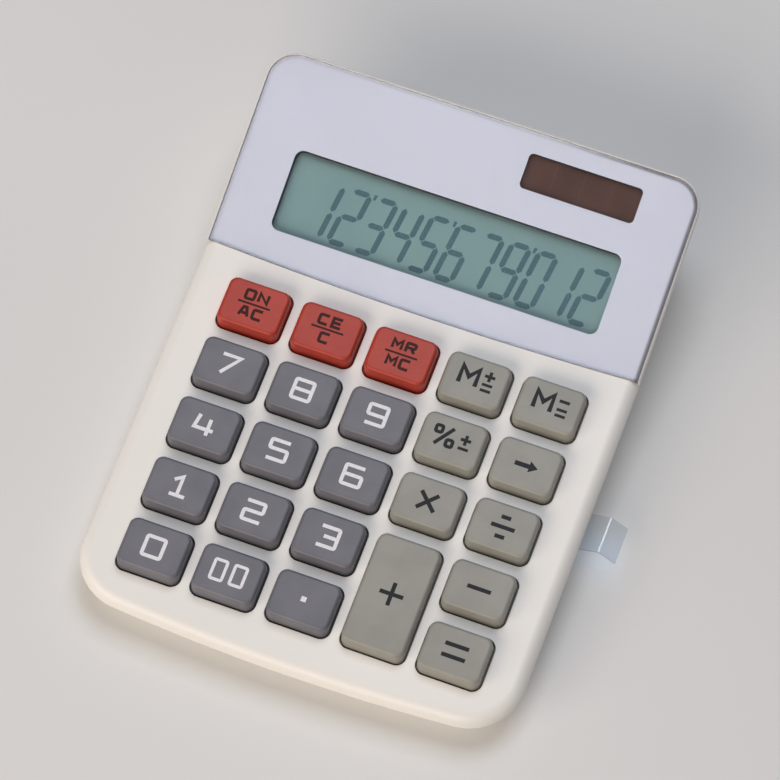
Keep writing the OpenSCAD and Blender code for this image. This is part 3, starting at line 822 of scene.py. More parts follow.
@dataclass(frozen=True)
class DisplayGlass(Finish):
    """Liquid-crystal glass under its polariser: grey-green, darker where the window's rim shades it."""

    low: str = "#607b7a"
    high: str = "#65807e"
    shade: str = "#374a4a"
    shade_w: float = 1.5
    shade_share: float = 0.5
    patch: float = 20.0
    rough: float = 0.3

    def dress(self, tree: Tree, shader: Node) -> None:
        """Shade the film towards its rear and left edges, over its own faint tones.

        Args:
            tree: the material's node tree.
            shader: its main shader.
        """
        place = CASE.head.coordinates(tree)
        left = -WINDOWS.lcd.wide / 2
        rear = WINDOWS.lcd.s + WINDOWS.lcd.long / 2
        from_left = add_node(tree, "ShaderNodeMapRange", SMOOTH, {
            "Value": place["X"], "From Min": left, "From Max": left + self.shade_w,
            "To Min": self.shade_share, "To Max": 0.0})
        from_rear = add_node(tree, "ShaderNodeMapRange", SMOOTH, {
            "Value": place["Y"], "From Min": rear - self.shade_w, "From Max": rear,
            "To Min": 0.0, "To Max": self.shade_share})
        dark = add_node(tree, "ShaderNodeMath", {"operation": "MAXIMUM"}, {
            0: from_left.outputs[0], 1: from_rear.outputs[0]})
        film = self.vary(tree, self.patches(tree, self.patch), self.low, self.high)
        mix = add_node(tree, "ShaderNodeMix", IN_COLOUR, {
            MIX_FACTOR: dark.outputs[0], MIX_A: film, MIX_B: to_linear(self.shade)})
        tree.links.new(mix.outputs[MIX_OUT], shader.inputs["Base Color"])
        shader.inputs["Roughness"].default_value = self.rough


@dataclass(frozen=True)
class SolarGlass(Finish):
    """Amorphous silicon on glass: deep brown, with thin scribed lines between its cells."""

    low: str = "#3f2b23"
    high: str = "#473129"
    scribe: str = "#57443d"
    cells: int = 4
    scribe_w: float = 0.25
    scribe_share: float = 0.22
    patch: float = 9.0
    rough: float = 0.22

    def dress(self, tree: Tree, shader: Node) -> None:
        """Draw the scribed lines at equal steps across the window.

        Args:
            tree: the material's node tree.
            shader: its main shader.
        """
        place = CASE.head.coordinates(tree)
        step = WINDOWS.solar.wide / self.cells
        left = WINDOWS.solar.x - WINDOWS.solar.wide / 2
        along = add_node(tree, "ShaderNodeMath", {"operation": "SUBTRACT"}, {0: place["X"], 1: left})
        wrapped = add_node(tree, "ShaderNodeMath", {"operation": "PINGPONG"}, {
            0: along.outputs[0], 1: step / 2})
        # A scribed line lies where the folded distance is near zero, once in every step
        line = add_node(tree, "ShaderNodeMapRange", SMOOTH, {
            "Value": wrapped.outputs[0], "From Min": self.scribe_w / 2, "From Max": self.scribe_w,
            "To Min": self.scribe_share, "To Max": 0.0})
        film = self.vary(tree, self.patches(tree, self.patch), self.low, self.high)
        mix = add_node(tree, "ShaderNodeMix", IN_COLOUR, {
            MIX_FACTOR: line.outputs[0], MIX_A: film, MIX_B: to_linear(self.scribe)})
        tree.links.new(mix.outputs[MIX_OUT], shader.inputs["Base Color"])
        shader.inputs["Roughness"].default_value = self.rough


@dataclass(frozen=True)
class PadInk(Finish):
    """Pad-printed ink: an even film, slightly patchy where the pad lifted."""

    low: str = "#000000"
    high: str = "#000000"
    rough: float = 0.5
    spread: float = 0.05
    patch: float = 0.8
    gloss: float = 0.2

    def dress(self, tree: Tree, shader: Node) -> None:
        """Blend two close tones in patches smaller than a stroke.

        Args:
            tree: the material's node tree.
            shader: its main shader.
        """
        patch = self.patches(tree, self.patch)
        tree.links.new(self.vary(tree, patch, self.low, self.high), shader.inputs["Base Color"])
        self.roughen(tree, shader, patch, self.rough - self.spread, self.rough + self.spread)
        shader.inputs["Specular IOR Level"].default_value = self.gloss


@dataclass(frozen=True)
class PlatedMetal(Finish):
    """Plated or rolled sheet metal: bright, with fine rolling streaks."""

    low: str = "#000000"
    high: str = "#000000"
    rough: float = 0.3
    streak: float = 0.6
    squeeze: float = 0.08
    layers: float = 3.0
    spread: float = 0.08

    def dress(self, tree: Tree, shader: Node) -> None:
        """Stretch the noise along y into streaks.

        Args:
            tree: the material's node tree.
            shader: its main shader.
        """
        coords = add_node(tree, "ShaderNodeTexCoord")
        stretch = add_node(tree, "ShaderNodeMapping", None, {
            "Vector": coords.outputs["Object"], "Scale": (1.0, self.squeeze, 1.0)})
        noise = add_node(tree, "ShaderNodeTexNoise", None, {
            "Vector": stretch.outputs[0], "Scale": 1 / (self.streak * MM), "Detail": self.layers})
        shader.inputs["Metallic"].default_value = 1.0
        streaks = noise.outputs["Fac"]
        tree.links.new(self.vary(tree, streaks, self.low, self.high), shader.inputs["Base Color"])
        self.roughen(tree, shader, streaks, self.rough - self.spread, self.rough + self.spread)


@dataclass(frozen=True)
class BoardLaminate(Finish):
    """Glass-fibre laminate under green solder resist, with tinned tracks showing through."""

    low: str = "#1f5a38"
    high: str = "#2b6b45"
    track: str = "#4b8a5e"
    pitch: float = 2.54
    track_w: float = 0.08
    track_run: float = 3.0
    patch: float = 3.0
    rough: tuple[float, float] = (0.3, 0.45)

    def dress(self, tree: Tree, shader: Node) -> None:
        """Draw tracks as stepped bands at the board's pitch.

        Args:
            tree: the material's node tree.
            shader: its main shader.
        """
        coords = add_node(tree, "ShaderNodeTexCoord")
        cells = add_node(tree, "ShaderNodeTexBrick", {"offset": 0.5, "squash": 1.0}, {
            "Vector": coords.outputs["Object"], "Scale": 1 / (self.pitch * MM),
            "Color1": to_linear(self.low), "Color2": to_linear(self.high),
            "Mortar": to_linear(self.track), "Mortar Size": self.track_w,
            "Brick Width": self.track_run, "Row Height": 1.0})
        tree.links.new(cells.outputs["Color"], shader.inputs["Base Color"])
        self.roughen(tree, shader, self.patches(tree, self.patch), *self.rough)


@dataclass(frozen=True)
class StripedFilm(Finish):
    """Flat ribbon: amber film with dark printed conductors side by side."""

    low: str = "#b98f45"
    high: str = "#3d3a36"
    pitch: float = 1.2
    edge: tuple[float, float] = (0.22, 0.28)
    patch: float = 4.0
    rough: tuple[float, float] = (0.3, 0.45)

    def dress(self, tree: Tree, shader: Node) -> None:
        """Fold x into equal stripes across the ribbon.

        Args:
            tree: the material's node tree.
            shader: its main shader.
        """
        place = CASE.deck.coordinates(tree)
        fold = add_node(tree, "ShaderNodeMath", {"operation": "PINGPONG"}, {
            0: place["X"], 1: self.pitch / 2})
        stripe = self.vary(tree, fold.outputs[0], self.low, self.high,
                           (self.pitch * self.edge[0], self.pitch * self.edge[1]))
        tree.links.new(stripe, shader.inputs["Base Color"])
        self.roughen(tree, shader, self.patches(tree, self.patch), *self.rough)


@dataclass(frozen=True)
class PairedSleeves(Finish):
    """Two wire sleeves of extruded plastic, one dark and one red, told apart by their side."""

    low: str = "#222124"
    high: str = "#a33327"
    patch: float = 2.0
    rough: tuple[float, float] = (0.35, 0.5)

    def dress(self, tree: Tree, shader: Node) -> None:
        """Change colour at the middle of the solar cell.

        Args:
            tree: the material's node tree.
            shader: its main shader.
        """
        place = CASE.head.coordinates(tree)
        sides = self.vary(tree, place["X"], self.low, self.high,
                          (WINDOWS.solar.x - PAST, WINDOWS.solar.x + PAST))
        tree.links.new(sides, shader.inputs["Base Color"])
        self.roughen(tree, shader, self.patches(tree, self.patch), *self.rough)


CREAM_ABS = MouldedPlastic("moulded_cream_abs", "#eceae4", "#efede7", 0.42, 0.6, 0.004)
RED_CAP = MouldedPlastic("moulded_red_key_abs", "#ac331f", "#b43923", 0.48, 0.45, 0.005, 9.0)
DARK_CAP = MouldedPlastic("moulded_dark_grey_key_abs", "#696971", "#717178", 0.48, 0.45, 0.005, 9.0)
PALE_CAP = MouldedPlastic("moulded_pale_grey_key_abs", "#929189", "#9a9991", 0.48, 0.45, 0.005, 9.0)
WHITE_PLASTIC = MouldedPlastic("moulded_white_polystyrene", "#d8d8d4", "#e2e2de", 0.45, 0.6, 0.004)
# Dark material for the upright walls of the two window wells
WINDOW_BLACK = MouldedPlastic("matt_dark_window_walls", "#26272a", "#303135", 0.7, 0.4, 0.003)
FLOOR_PAPER = MouldedPlastic("matt_floor_paper", "#dededc", "#e4e4e2", 0.8, 4.0, 0.01, 300.0)
SILICONE = MouldedPlastic("moulded_silicone_rubber", "#47474a", "#525255", 0.75, 0.8, 0.006)
FOOT_RUBBER = MouldedPlastic("moulded_foot_rubber", "#29292b", "#333335", 0.85, 0.5, 0.01, 3.0)
EPOXY = MouldedPlastic("cast_black_epoxy", "#18181a", "#222225", 0.35, 1.5, 0.01, 3.0)
CAP_SLEEVE = MouldedPlastic("shrunk_blue_capacitor_sleeve", "#2a3b5e", "#344873", 0.4, 0.8, 0.003, 2.0)
ACRYLIC = ClearPlastic("cast_clear_acrylic")
FILM = ClearPlastic("clear_polyester_film", "#e8eef4", 1.58, 0.08, 4.0)
PANEL_PRINT = PanelPrint("screen_printed_lavender_ink")
DISPLAY_GLASS = DisplayGlass("liquid_crystal_glass")
SOLAR_GLASS = SolarGlass("amorphous_silicon_glass")
SEGMENTS = PadInk("liquid_crystal_segments", "#3a5359", "#3f595f", 0.35)
WHITE_INK = PadInk("white_pad_ink", "#e4e4ea", "#eeeef2")
DARK_INK = PadInk("dark_grey_pad_ink", "#1e2123", "#262a2c")
BROWN_INK = PadInk("dark_brown_pad_ink", "#35120f", "#3e1713")
STEEL = PlatedMetal("zinc_plated_steel", "#b3b6ba", "#c4c7ca", 0.32)
NICKEL = PlatedMetal("nickel_plated_steel", "#c3c5c6", "#d2d3d2", 0.22)
BRASS = PlatedMetal("rolled_spring_brass", "#c8a45a", "#d6b670", 0.3)
LAMINATE = BoardLaminate("solder_masked_laminate")
RIBBON = StripedFilm("printed_ribbon_film")
SLEEVES = PairedSleeves("extruded_wire_sleeves")


# Geometry Nodes trees for what repeats


class NodeTree:
    """A Geometry Nodes group with named inputs, run once on a set of points."""

    def __init__(self, name: str, sizes: dict[str, float]) -> None:
        """Start a group with one float input per size and a material input.

        Args:
            name: name of the group.
            sizes: for each input's name, its value in millimetres.
        """
        self.tree = bpy.data.node_groups.new(name, "GeometryNodeTree")
        face = self.tree.interface
        face.new_socket("Points", in_out="INPUT", socket_type="NodeSocketGeometry")
        self.sizes = sizes
        for size in sizes:
            face.new_socket(size, in_out="INPUT", socket_type="NodeSocketFloat")
        face.new_socket("Tilt", in_out="INPUT", socket_type="NodeSocketFloat")
        face.new_socket("Finish", in_out="INPUT", socket_type="NodeSocketMaterial")
        face.new_socket("Geometry", in_out="OUTPUT", socket_type="NodeSocketGeometry")
        self.given = add_node(self.tree, "NodeGroupInput").outputs

    def lift(self, geometry: Socket, height: Socket) -> Socket:
        """Move a part of the pattern up.

        Args:
            geometry: socket with the part.
            height: socket with the height.

        Returns:
            Socket with the moved part.
        """
        offset = add_node(self.tree, "ShaderNodeCombineXYZ", None, {"Z": height})
        moved = add_node(self.tree, "GeometryNodeTransform", None, {
            "Geometry": geometry, "Translation": offset.outputs[0]})
        return moved.outputs[0]

    def repeat(self, pattern: Socket) -> None:
        """Put the pattern on every point, tilted about x, and end the group.

        Args:
            pattern: socket with one pattern.
        """
        turn = add_node(self.tree, "ShaderNodeCombineXYZ", None, {"X": self.given["Tilt"]})
        copies = add_node(self.tree, "GeometryNodeInstanceOnPoints", None, {
            "Points": self.given["Points"], "Instance": pattern, "Rotation": turn.outputs[0]})
        real = add_node(self.tree, "GeometryNodeRealizeInstances", None, {0: copies.outputs[0]})
        dressed = add_node(self.tree, "GeometryNodeSetMaterial", None, {
            "Geometry": real.outputs[0], "Material": self.given["Finish"]})
        add_node(self.tree, "NodeGroupOutput", None, {0: dressed.outputs[0]})

    def run(self, name: str, points: Sequence[Vector], tilt: float, finish: Finish) -> Piece:
        """Make one mesh of the pattern at the given points.

        Args:
            name: name of the piece.
            points: places in the part's frame, in millimetres.
            tilt: turn about x in degrees.
            finish: the finish of the pattern.

        Returns:
            A plain mesh object in millimetres.
        """
        data = bpy.data.meshes.new(name)
        data.from_pydata([tuple(p) for p in points], [], [])
        piece = bpy.data.objects.new(name, data)
        bpy.context.scene.collection.objects.link(piece)
        step = piece.modifiers.new("pattern", "NODES")
        step.node_group = self.tree
        values: dict[str, Any] = {**self.sizes, "Tilt": math.radians(tilt), "Finish": finish.material()}
        for socket in self.tree.interface.items_tree:
            if socket.in_out == "INPUT" and socket.name in values:
                step[socket.identifier] = values[socket.name]
        settle(piece)
        return piece


def screw_tree(length: float) -> NodeTree:
    """Build the group for small pan-head screws with a cross recess, head below and shank above.

    Args:
        length: length of the shank in millimetres.

    Returns:
        The group.
    """
    head_r, head_taper, head_h = 1.9, 0.82, 1.2
    head_sides, shank_sides = 48, 32
    group = NodeTree("cross_head_screws", {
        "Head Radius": head_r, "Head Low Radius": head_r * head_taper,
        "Head Height": head_h, "Head Lift": -head_h,
        "Shank Radius": 1.0, "Shank Length": length, "Shank Lift": length / 2,
        "Recess Length": 2.1, "Recess Width": 0.5, "Recess Depth": 1.0})
    tree, given = group.tree, group.given
    head = add_node(tree, "GeometryNodeMeshCone", None, {
        "Vertices": head_sides, "Radius Top": given["Head Radius"],
        "Radius Bottom": given["Head Low Radius"], "Depth": given["Head Height"]})
    cut = group.lift(head.outputs["Mesh"], given["Head Lift"])
    for long_axis in (0, 1):
        size = add_node(tree, "ShaderNodeCombineXYZ", None, {
            long_axis: given["Recess Length"], 1 - long_axis: given["Recess Width"],
            2: given["Recess Depth"]})
        recess = add_node(tree, "GeometryNodeMeshCube", None, {"Size": size.outputs[0]})
        low = group.lift(recess.outputs["Mesh"], given["Head Lift"])
        cut = add_node(tree, "GeometryNodeMeshBoolean", {"operation": "DIFFERENCE"}, {
            "Mesh 1": cut, "Mesh 2": low}).outputs["Mesh"]
    shank = add_node(tree, "GeometryNodeMeshCylinder", None, {
        "Vertices": shank_sides, "Radius": given["Shank Radius"], "Depth": given["Shank Length"]})
    shank_up = group.lift(shank.outputs["Mesh"], given["Shank Lift"])
    whole = add_node(tree, "GeometryNodeJoinGeometry", None, {0: cut})
    tree.links.new(shank_up, whole.inputs[0])
    group.repeat(whole.outputs[0])
    return group


def foot_tree(r: float, height: float, rim: float) -> NodeTree:
    """Build the group for round feet with a chamfered lower rim.

    Args:
        r: radius of a foot in millimetres.
        height: its height.
        rim: height of the chamfer.

    Returns:
        The group.
    """
    rim_share, sides = 0.9, 64
    group = NodeTree("chamfered_feet", {"Radius": r, "Rim Radius": rim_share * r, "Rim": rim,
                                        "Height": height - rim, "Lift": (height + rim) / 2})
    tree, given = group.tree, group.given
    lower = add_node(tree, "GeometryNodeMeshCone", {"fill_type": "NGON"}, {
        "Vertices": sides, "Radius Top": given["Radius"], "Radius Bottom": given["Rim Radius"],
        "Depth": given["Rim"]})
    upper = add_node(tree, "GeometryNodeMeshCylinder", {"fill_type": "NGON"}, {
        "Vertices": sides, "Radius": given["Radius"], "Depth": given["Height"]})
    raised = group.lift(upper.outputs["Mesh"], given["Lift"])
    whole = add_node(tree, "GeometryNodeJoinGeometry", None, {0: lower.outputs["Mesh"]})
    tree.links.new(raised, whole.inputs[0])
    group.repeat(whole.outputs[0])
    return group


def rib_tree(r: float, length: float) -> NodeTree:
    """Build the group for round-topped grip ribs that lie along y.

    Args:
        r: radius of a rib in millimetres.
        length: its length.

    Returns:
        The group.
    """
    sides = 20
    group = NodeTree("grip_ribs", {"Radius": r, "Length": length})
    tree, given = group.tree, group.given
    bar = add_node(tree, "GeometryNodeMeshCylinder", {"fill_type": "NGON"}, {
        "Vertices": sides, "Radius": given["Radius"], "Depth": given["Length"]})
    lying = add_node(tree, "GeometryNodeTransform", None, {
        "Geometry": bar.outputs["Mesh"], "Rotation": (math.radians(90), 0.0, 0.0)})
    group.repeat(lying.outputs[0])
    return group


# Case shells


def deck_block(inset: float, drop: float, end: float) -> Shape:
    """Make the front block of the case, from its floor up to the key deck.

    Args:
        inset: how far inside the outer face it lies.
        drop: how far below the deck it ends.
        end: where it ends at the rear, along the deck.

    Returns:
        The solid.
    """
    rings = []
    run = end * math.cos(math.radians(CASE.deck_slope))
    for step, depth in reversed(quarter(CASE.floor_edge_r)):
        outline = deck_outline(inset + CASE.undercut + step, run)
        rings.append([Vector((x, CASE.front_y + y, CASE.feet_h + inset + depth)) for x, y in outline])
    for step, depth in quarter(CASE.deck_edge_r - inset / 2):
        rings.append([CASE.deck.at(x, y, -drop - depth) for x, y in deck_outline(inset + step, end)])
    return Shape().loft(split_flanks(rings))


def head_block(inset: float, drop: float, start: float) -> Shape:
    """Make the rear block of the case, from its floor up to the display head.

    Args:
        inset: how far inside the outer face it lies.
        drop: how far below the head's surface it ends.
        start: where it starts at the front, along the head.

    Returns:
        The solid.
    """
    rings = []
    head = CASE.head

    def outline(step: float, end: float) -> list[Point]:
        """Give the block's outline inset by a step."""
        side = CASE.half_w - step
        return [(-side, start), (side, start)] + head_rear(step, end)

    for step, depth in reversed(quarter(CASE.floor_edge_r)):
        points = outline(inset + CASE.undercut + step, CASE.head_run)
        rings.append([Vector((x, head.start_y + y, CASE.feet_h + inset + depth)) for x, y in points])
    flank = max(CASE.deck_edge_r, drop + CASE.plate_edge_r + CASE.flank_step)
    rings.append([head.at(x, y, -flank) for x, y in outline(inset, CASE.head_l)])
    for step, depth in quarter(CASE.plate_edge_r):
        rings.append([head.at(x, y, -drop - depth) for x, y in outline(inset + step, CASE.head_l)])
    return Shape().loft(split_flanks(rings))


def darken_well_walls(piece: Piece, window: Window) -> None:
    """Give the upright walls of one window in the head the second material.

    Args:
        piece: piece in millimetres that the window goes through.
        window: the window.
    """
    start = CASE.head.at(0.0, 0.0, 0.0)
    uphill = CASE.head.at(0.0, 1.0, 0.0) - start
    upward = CASE.head.at(0.0, 0.0, 1.0) - start
    margin, upright = 0.05, 0.5
    for face in piece.data.polygons:
        along = (face.center - start).dot(uphill)
        in_x = abs(face.center.x - window.x) < window.wide / 2 + margin
        in_y = abs(along - window.s) < window.long / 2 + margin
        if in_x and in_y and abs(face.normal.dot(upward)) < upright:
            face.material_index = 1


@dataclass
class CaseShells:
    """Upper and lower shell of the case, parted by a thin line along the flanks."""

    lip_turn: float = 70.0
    lip_over: float = 0.05
    tube_r: float = 3.2
    head_hole_r: float = 2.2
    shank_hole_r: float = 1.3
    screw_land: float = 3.0
    foot_r: float = 4.0
    foot_seat: float = 0.5
    foot_rim: float = 0.35
    shank_l: float = 7.0
    pocket_corner_r: float = 0.2
    rear_joint_h: float = 13.0
    rear_screw_side: float = 10.0
    rear_screw_in: float = 11.5
    foot_side: float = 18.0
    foot_in: float = 13.5

    @property
    def front_screws(self) -> list[Point]:
        """Places of the upright front screws, which pass where four keys meet.

        Returns:
            One place for each screw.
        """
        depth = (KEYPAD.flange_bottom + KEYPAD.board_bottom) / 2
        places = [CASE.deck.at(*KEYPAD.between(place), -depth) for place in KEYPAD.case_screws]
        return [(place.x, place.y) for place in places]

    @property
    def front_joint_h(self) -> float:
        """Height at which the front screw tubes end.

        Returns:
            A height just under the board.
        """
        turn = math.radians(CASE.deck_slope)
        run = self.front_screws[0][1] - self.tube_r - CASE.front_y
        return CASE.front_h + run * math.tan(turn) - (KEYPAD.board_bottom + CASE.slip) / math.cos(turn)

    @property
    def rear_screws(self) -> list[Point]:
        """Places of the rear screws."""
        x, y = CASE.half_w - self.rear_screw_side, CASE.case_l / 2 - self.rear_screw_in
        return [(-x, y), (x, y)]

    @property
    def feet(self) -> list[Point]:
        """Places of the four feet."""
        x, y = CASE.half_w - self.foot_side, CASE.case_l / 2 - self.foot_in
        return [(-x, -y), (x, -y), (-x, y), (x, y)]

    def hollow(self, name: str) -> Piece:
        """Make the whole hollow case in one piece, before it is parted.

        Args:
            name: name of the object.

        Returns:
            The object in millimetres.
        """
        piece = head_block(0, 0, 0).piece(name)
        side = CASE.half_w + PAST
        # The head starts at the bowed seam, so that the deck and its rounded sides run up to it
        ahead = seam_points(side, 0.0) + [(side, -PAST), (-side, -PAST)]
        combine(piece, Shape().prism(CASE.head, ahead, -CASE.deck_edge_r - PAST, PAST), Join.CUT)
        combine(piece, deck_block(0, 0, CASE.deck_l + CASE.block_lap), Join.ADD)
        combine(piece, deck_block(CASE.wall, CASE.wall, CASE.deck_l - CASE.crease_land), Join.CUT)
        combine(piece, head_block(CASE.wall, CASE.seat_depth + CASE.wall,
                                  -CASE.crease_land - CASE.cavity_lap), Join.CUT)
        return piece

    def half_space(self, low: float, high: float) -> Shape:
        """Make all the room between two heights over the key deck.

        Args:
            low: lower height, in millimetres.
            high: upper height.

        Returns:
            A slab parallel to the deck.
        """
        side = FAR / 2
        outline = ((-side, -side), (side, -side), (side, side), (-side, side))
        return Shape().prism(CASE.deck, outline, low, high)

    def key_openings(self) -> Shape:
        """Make the cutters of the key openings, flared into a small rounded lip at the deck.

        Returns:
            All cutters in one shape.
        """
        cutters = Shape()
        r = KEYPAD.lip_r
        turns = [math.radians(self.lip_turn * i / LIP_STEPS) for i in range(LIP_STEPS + 1)]
        lip = [(r * (1 - math.cos(a)), r * (math.sin(a) - math.sin(turns[-1]))) for a in turns]
        # The lip runs on past the deck at an angle, because a cut that only touches a face is uncertain
        beyond = (lip[-1][0] + self.lip_over * math.tan(turns[-1]), self.lip_over)
        levels = [(0.0, -CASE.wall - PAST)] + lip[:-1] + [beyond]
        for key in KEYS:
            rings = []
            for grow, z in levels:
                out = KEYPAD.gap + grow
                outline = rounded_rect(KEYPAD.wide + 2 * out, key.long + 2 * out, KEYPAD.corner_r + out,
                                       key.x, key.y)
                rings.append([CASE.deck.at(x, y, z) for x, y in outline])
            cutters.loft(rings)
        return cutters

    def build_top(self) -> None:
        """Make the upper shell: key openings, seat of the display plate and its two windows."""
        piece = self.hollow("top_shell")
        combine(piece, self.half_space(-FAR / 2, -CASE.parting_depth + CASE.parting_gap / 2), Join.CUT)
        seat = seam_points(CASE.half_w - CASE.rim_w, 0.0) + head_rear(CASE.rim_w, CASE.head_l)
        combine(piece, Shape().prism(CASE.head, seat, -CASE.seat_depth, PAST), Join.CUT)
        depth = CASE.seat_depth + CASE.wall
        combine(piece, Shape().prism(CASE.head, WINDOWS.lcd.outline(), -depth - PAST, PAST), Join.CUT)
        lap = 2 * (WINDOWS.solar_lap + CASE.slip)
        pocket = rounded_rect(WINDOWS.solar.wide + lap, WINDOWS.solar.long + lap, self.pocket_corner_r,
                              WINDOWS.solar.x, WINDOWS.solar.s)
        floor = CASE.seat_depth + WINDOWS.solar_t + 2 * CASE.touch_gap
        combine(piece, Shape().prism(CASE.head, pocket, -floor, PAST), Join.CUT)
        combine(piece, self.key_openings(), Join.CUT)
        # The upright walls of the display window get the dark material
        darken_well_walls(piece, WINDOWS.lcd)
        finish_piece(piece, "case", [CREAM_ABS, WINDOW_BLACK],
                     ["top_case"])

    def build_bottom(self) -> None:
        """Make the lower shell: floor, screw tubes, battery walls, door opening and tab slot."""
        piece = self.hollow("bottom_shell")
        combine(piece, self.half_space(-CASE.parting_depth - CASE.parting_gap / 2, FAR / 2), Join.CUT)
        foot_z = CASE.feet_h + CASE.wall / 2
        joints = [(p, self.front_joint_h) for p in self.front_screws]
        joints += [(p, self.rear_joint_h) for p in self.rear_screws]
        tubes = Shape()
        holes = Shape()
        shanks = Shape()
        for (x, y), joint in joints:
            tubes.post(x, y, self.tube_r, foot_z, joint)
            holes.post(x, y, self.head_hole_r, -PAST, joint - self.screw_land)
            shanks.post(x, y, self.shank_hole_r, -PAST, joint + PAST)
        bay_half = BAY.cell_r + CASE.slip
        inner = BAY.cell_x - BAY.cell_r - 2 * CASE.slip - BAY.contact_t
        top = BAY.cell_top - CASE.touch_gap
        outer = BAY.cell_x + BAY.cell_r
        reach = bay_half + BAY.cell_wall
        tubes.block((inner - BAY.cell_wall, BAY.cell_y - reach, foot_z),
                    (inner, BAY.cell_y + reach, top))
        combine(piece, tubes, Join.ADD)
        for low, high in ((-reach, -bay_half), (bay_half, reach)):
            side = Shape().block((inner - BAY.cell_wall / 2, BAY.cell_y + low, foot_z),
                                 (outer, BAY.cell_y + high, top))
            combine(piece, side, Join.ADD)
        combine(piece, holes, Join.CUT)
        combine(piece, shanks, Join.CUT)
        seats = Shape()
        for x, y in self.feet:
            seats.post(x, y, self.foot_r + CASE.touch_gap, -PAST, CASE.feet_h + self.foot_seat)
        combine(piece, seats, Join.CUT)
        edge = BAY.cell_x - BAY.cell_r - CASE.slip
        tongue_z = CASE.feet_h + BAY.door_t - BAY.tongue_t
        opening = Shape().block((edge, BAY.cell_y - bay_half, -PAST),
                                (FAR, BAY.cell_y + bay_half, CASE.feet_h + BAY.door_end_h))
        combine(piece, opening, Join.CUT)
        groove = Shape().block((edge, BAY.cell_y - bay_half - BAY.tongue_w, tongue_z),
                               (FAR, BAY.cell_y + bay_half + BAY.tongue_w, tongue_z + BAY.tongue_t))
        combine(piece, groove, Join.CUT)
        slot_half = BAY.tab_w / 2 + CASE.slip
        tab_z = BAY.cell_top + CASE.touch_gap + BAY.tab_t / 2
        slot_h = BAY.tab_t / 2 + CASE.slip
        slot = Shape().block((outer, BAY.cell_y - slot_half, tab_z - slot_h),
                             (FAR, BAY.cell_y + slot_half, tab_z + slot_h))
        combine(piece, slot, Join.CUT)
        finish_piece(piece, "case", [CREAM_ABS], ["bottom_case"])

    def build_fittings(self) -> None:
        """Make the case screws and the rubber feet with Geometry Nodes."""
        points = [Vector((x, y, self.front_joint_h - self.screw_land)) for x, y in self.front_screws]
        points += [Vector((x, y, self.rear_joint_h - self.screw_land)) for x, y in self.rear_screws]
        screws = screw_tree(self.shank_l).run("case_screw_set", points, 0.0, STEEL)
        finish_piece(screws, "case", [STEEL], ["case_screws"])
        feet = foot_tree(self.foot_r, CASE.feet_h + self.foot_seat, self.foot_rim)
        piece = feet.run("foot_set", [Vector((x, y, 0.0)) for x, y in self.feet], 0.0, FOOT_RUBBER)
        finish_piece(piece, "case", [FOOT_RUBBER], ["rubber_feet"])


# Key caps and their print


class KeyTone(Enum):
    """Colour of a key cap, with its plastic, its ink and the name of its slot."""

    RED = (RED_CAP, BROWN_INK, "key_red")
    DARK = (DARK_CAP, WHITE_INK, "key_dark")
    PALE = (PALE_CAP, DARK_INK, "key_pale")


@dataclass(frozen=True)
class Stroke:
    """One line of a sign in a box from -1 to 1, with ends cut back where it meets another line."""

    points: tuple[Point, ...]
    closed: bool = False
    cut_start: bool = False
    cut_end: bool = False
    round_corners: bool = True
    filled: bool = False


@dataclass(frozen=True)
class Mark:
    """One printed sign: which one, where its middle lies, how big it is and its line's width, in mm."""

    sign: str
    x: float = 0.0
    y: float = 0.0
    wide: float = 4.6
    tall: float = 4.9
    line: float = 0.9


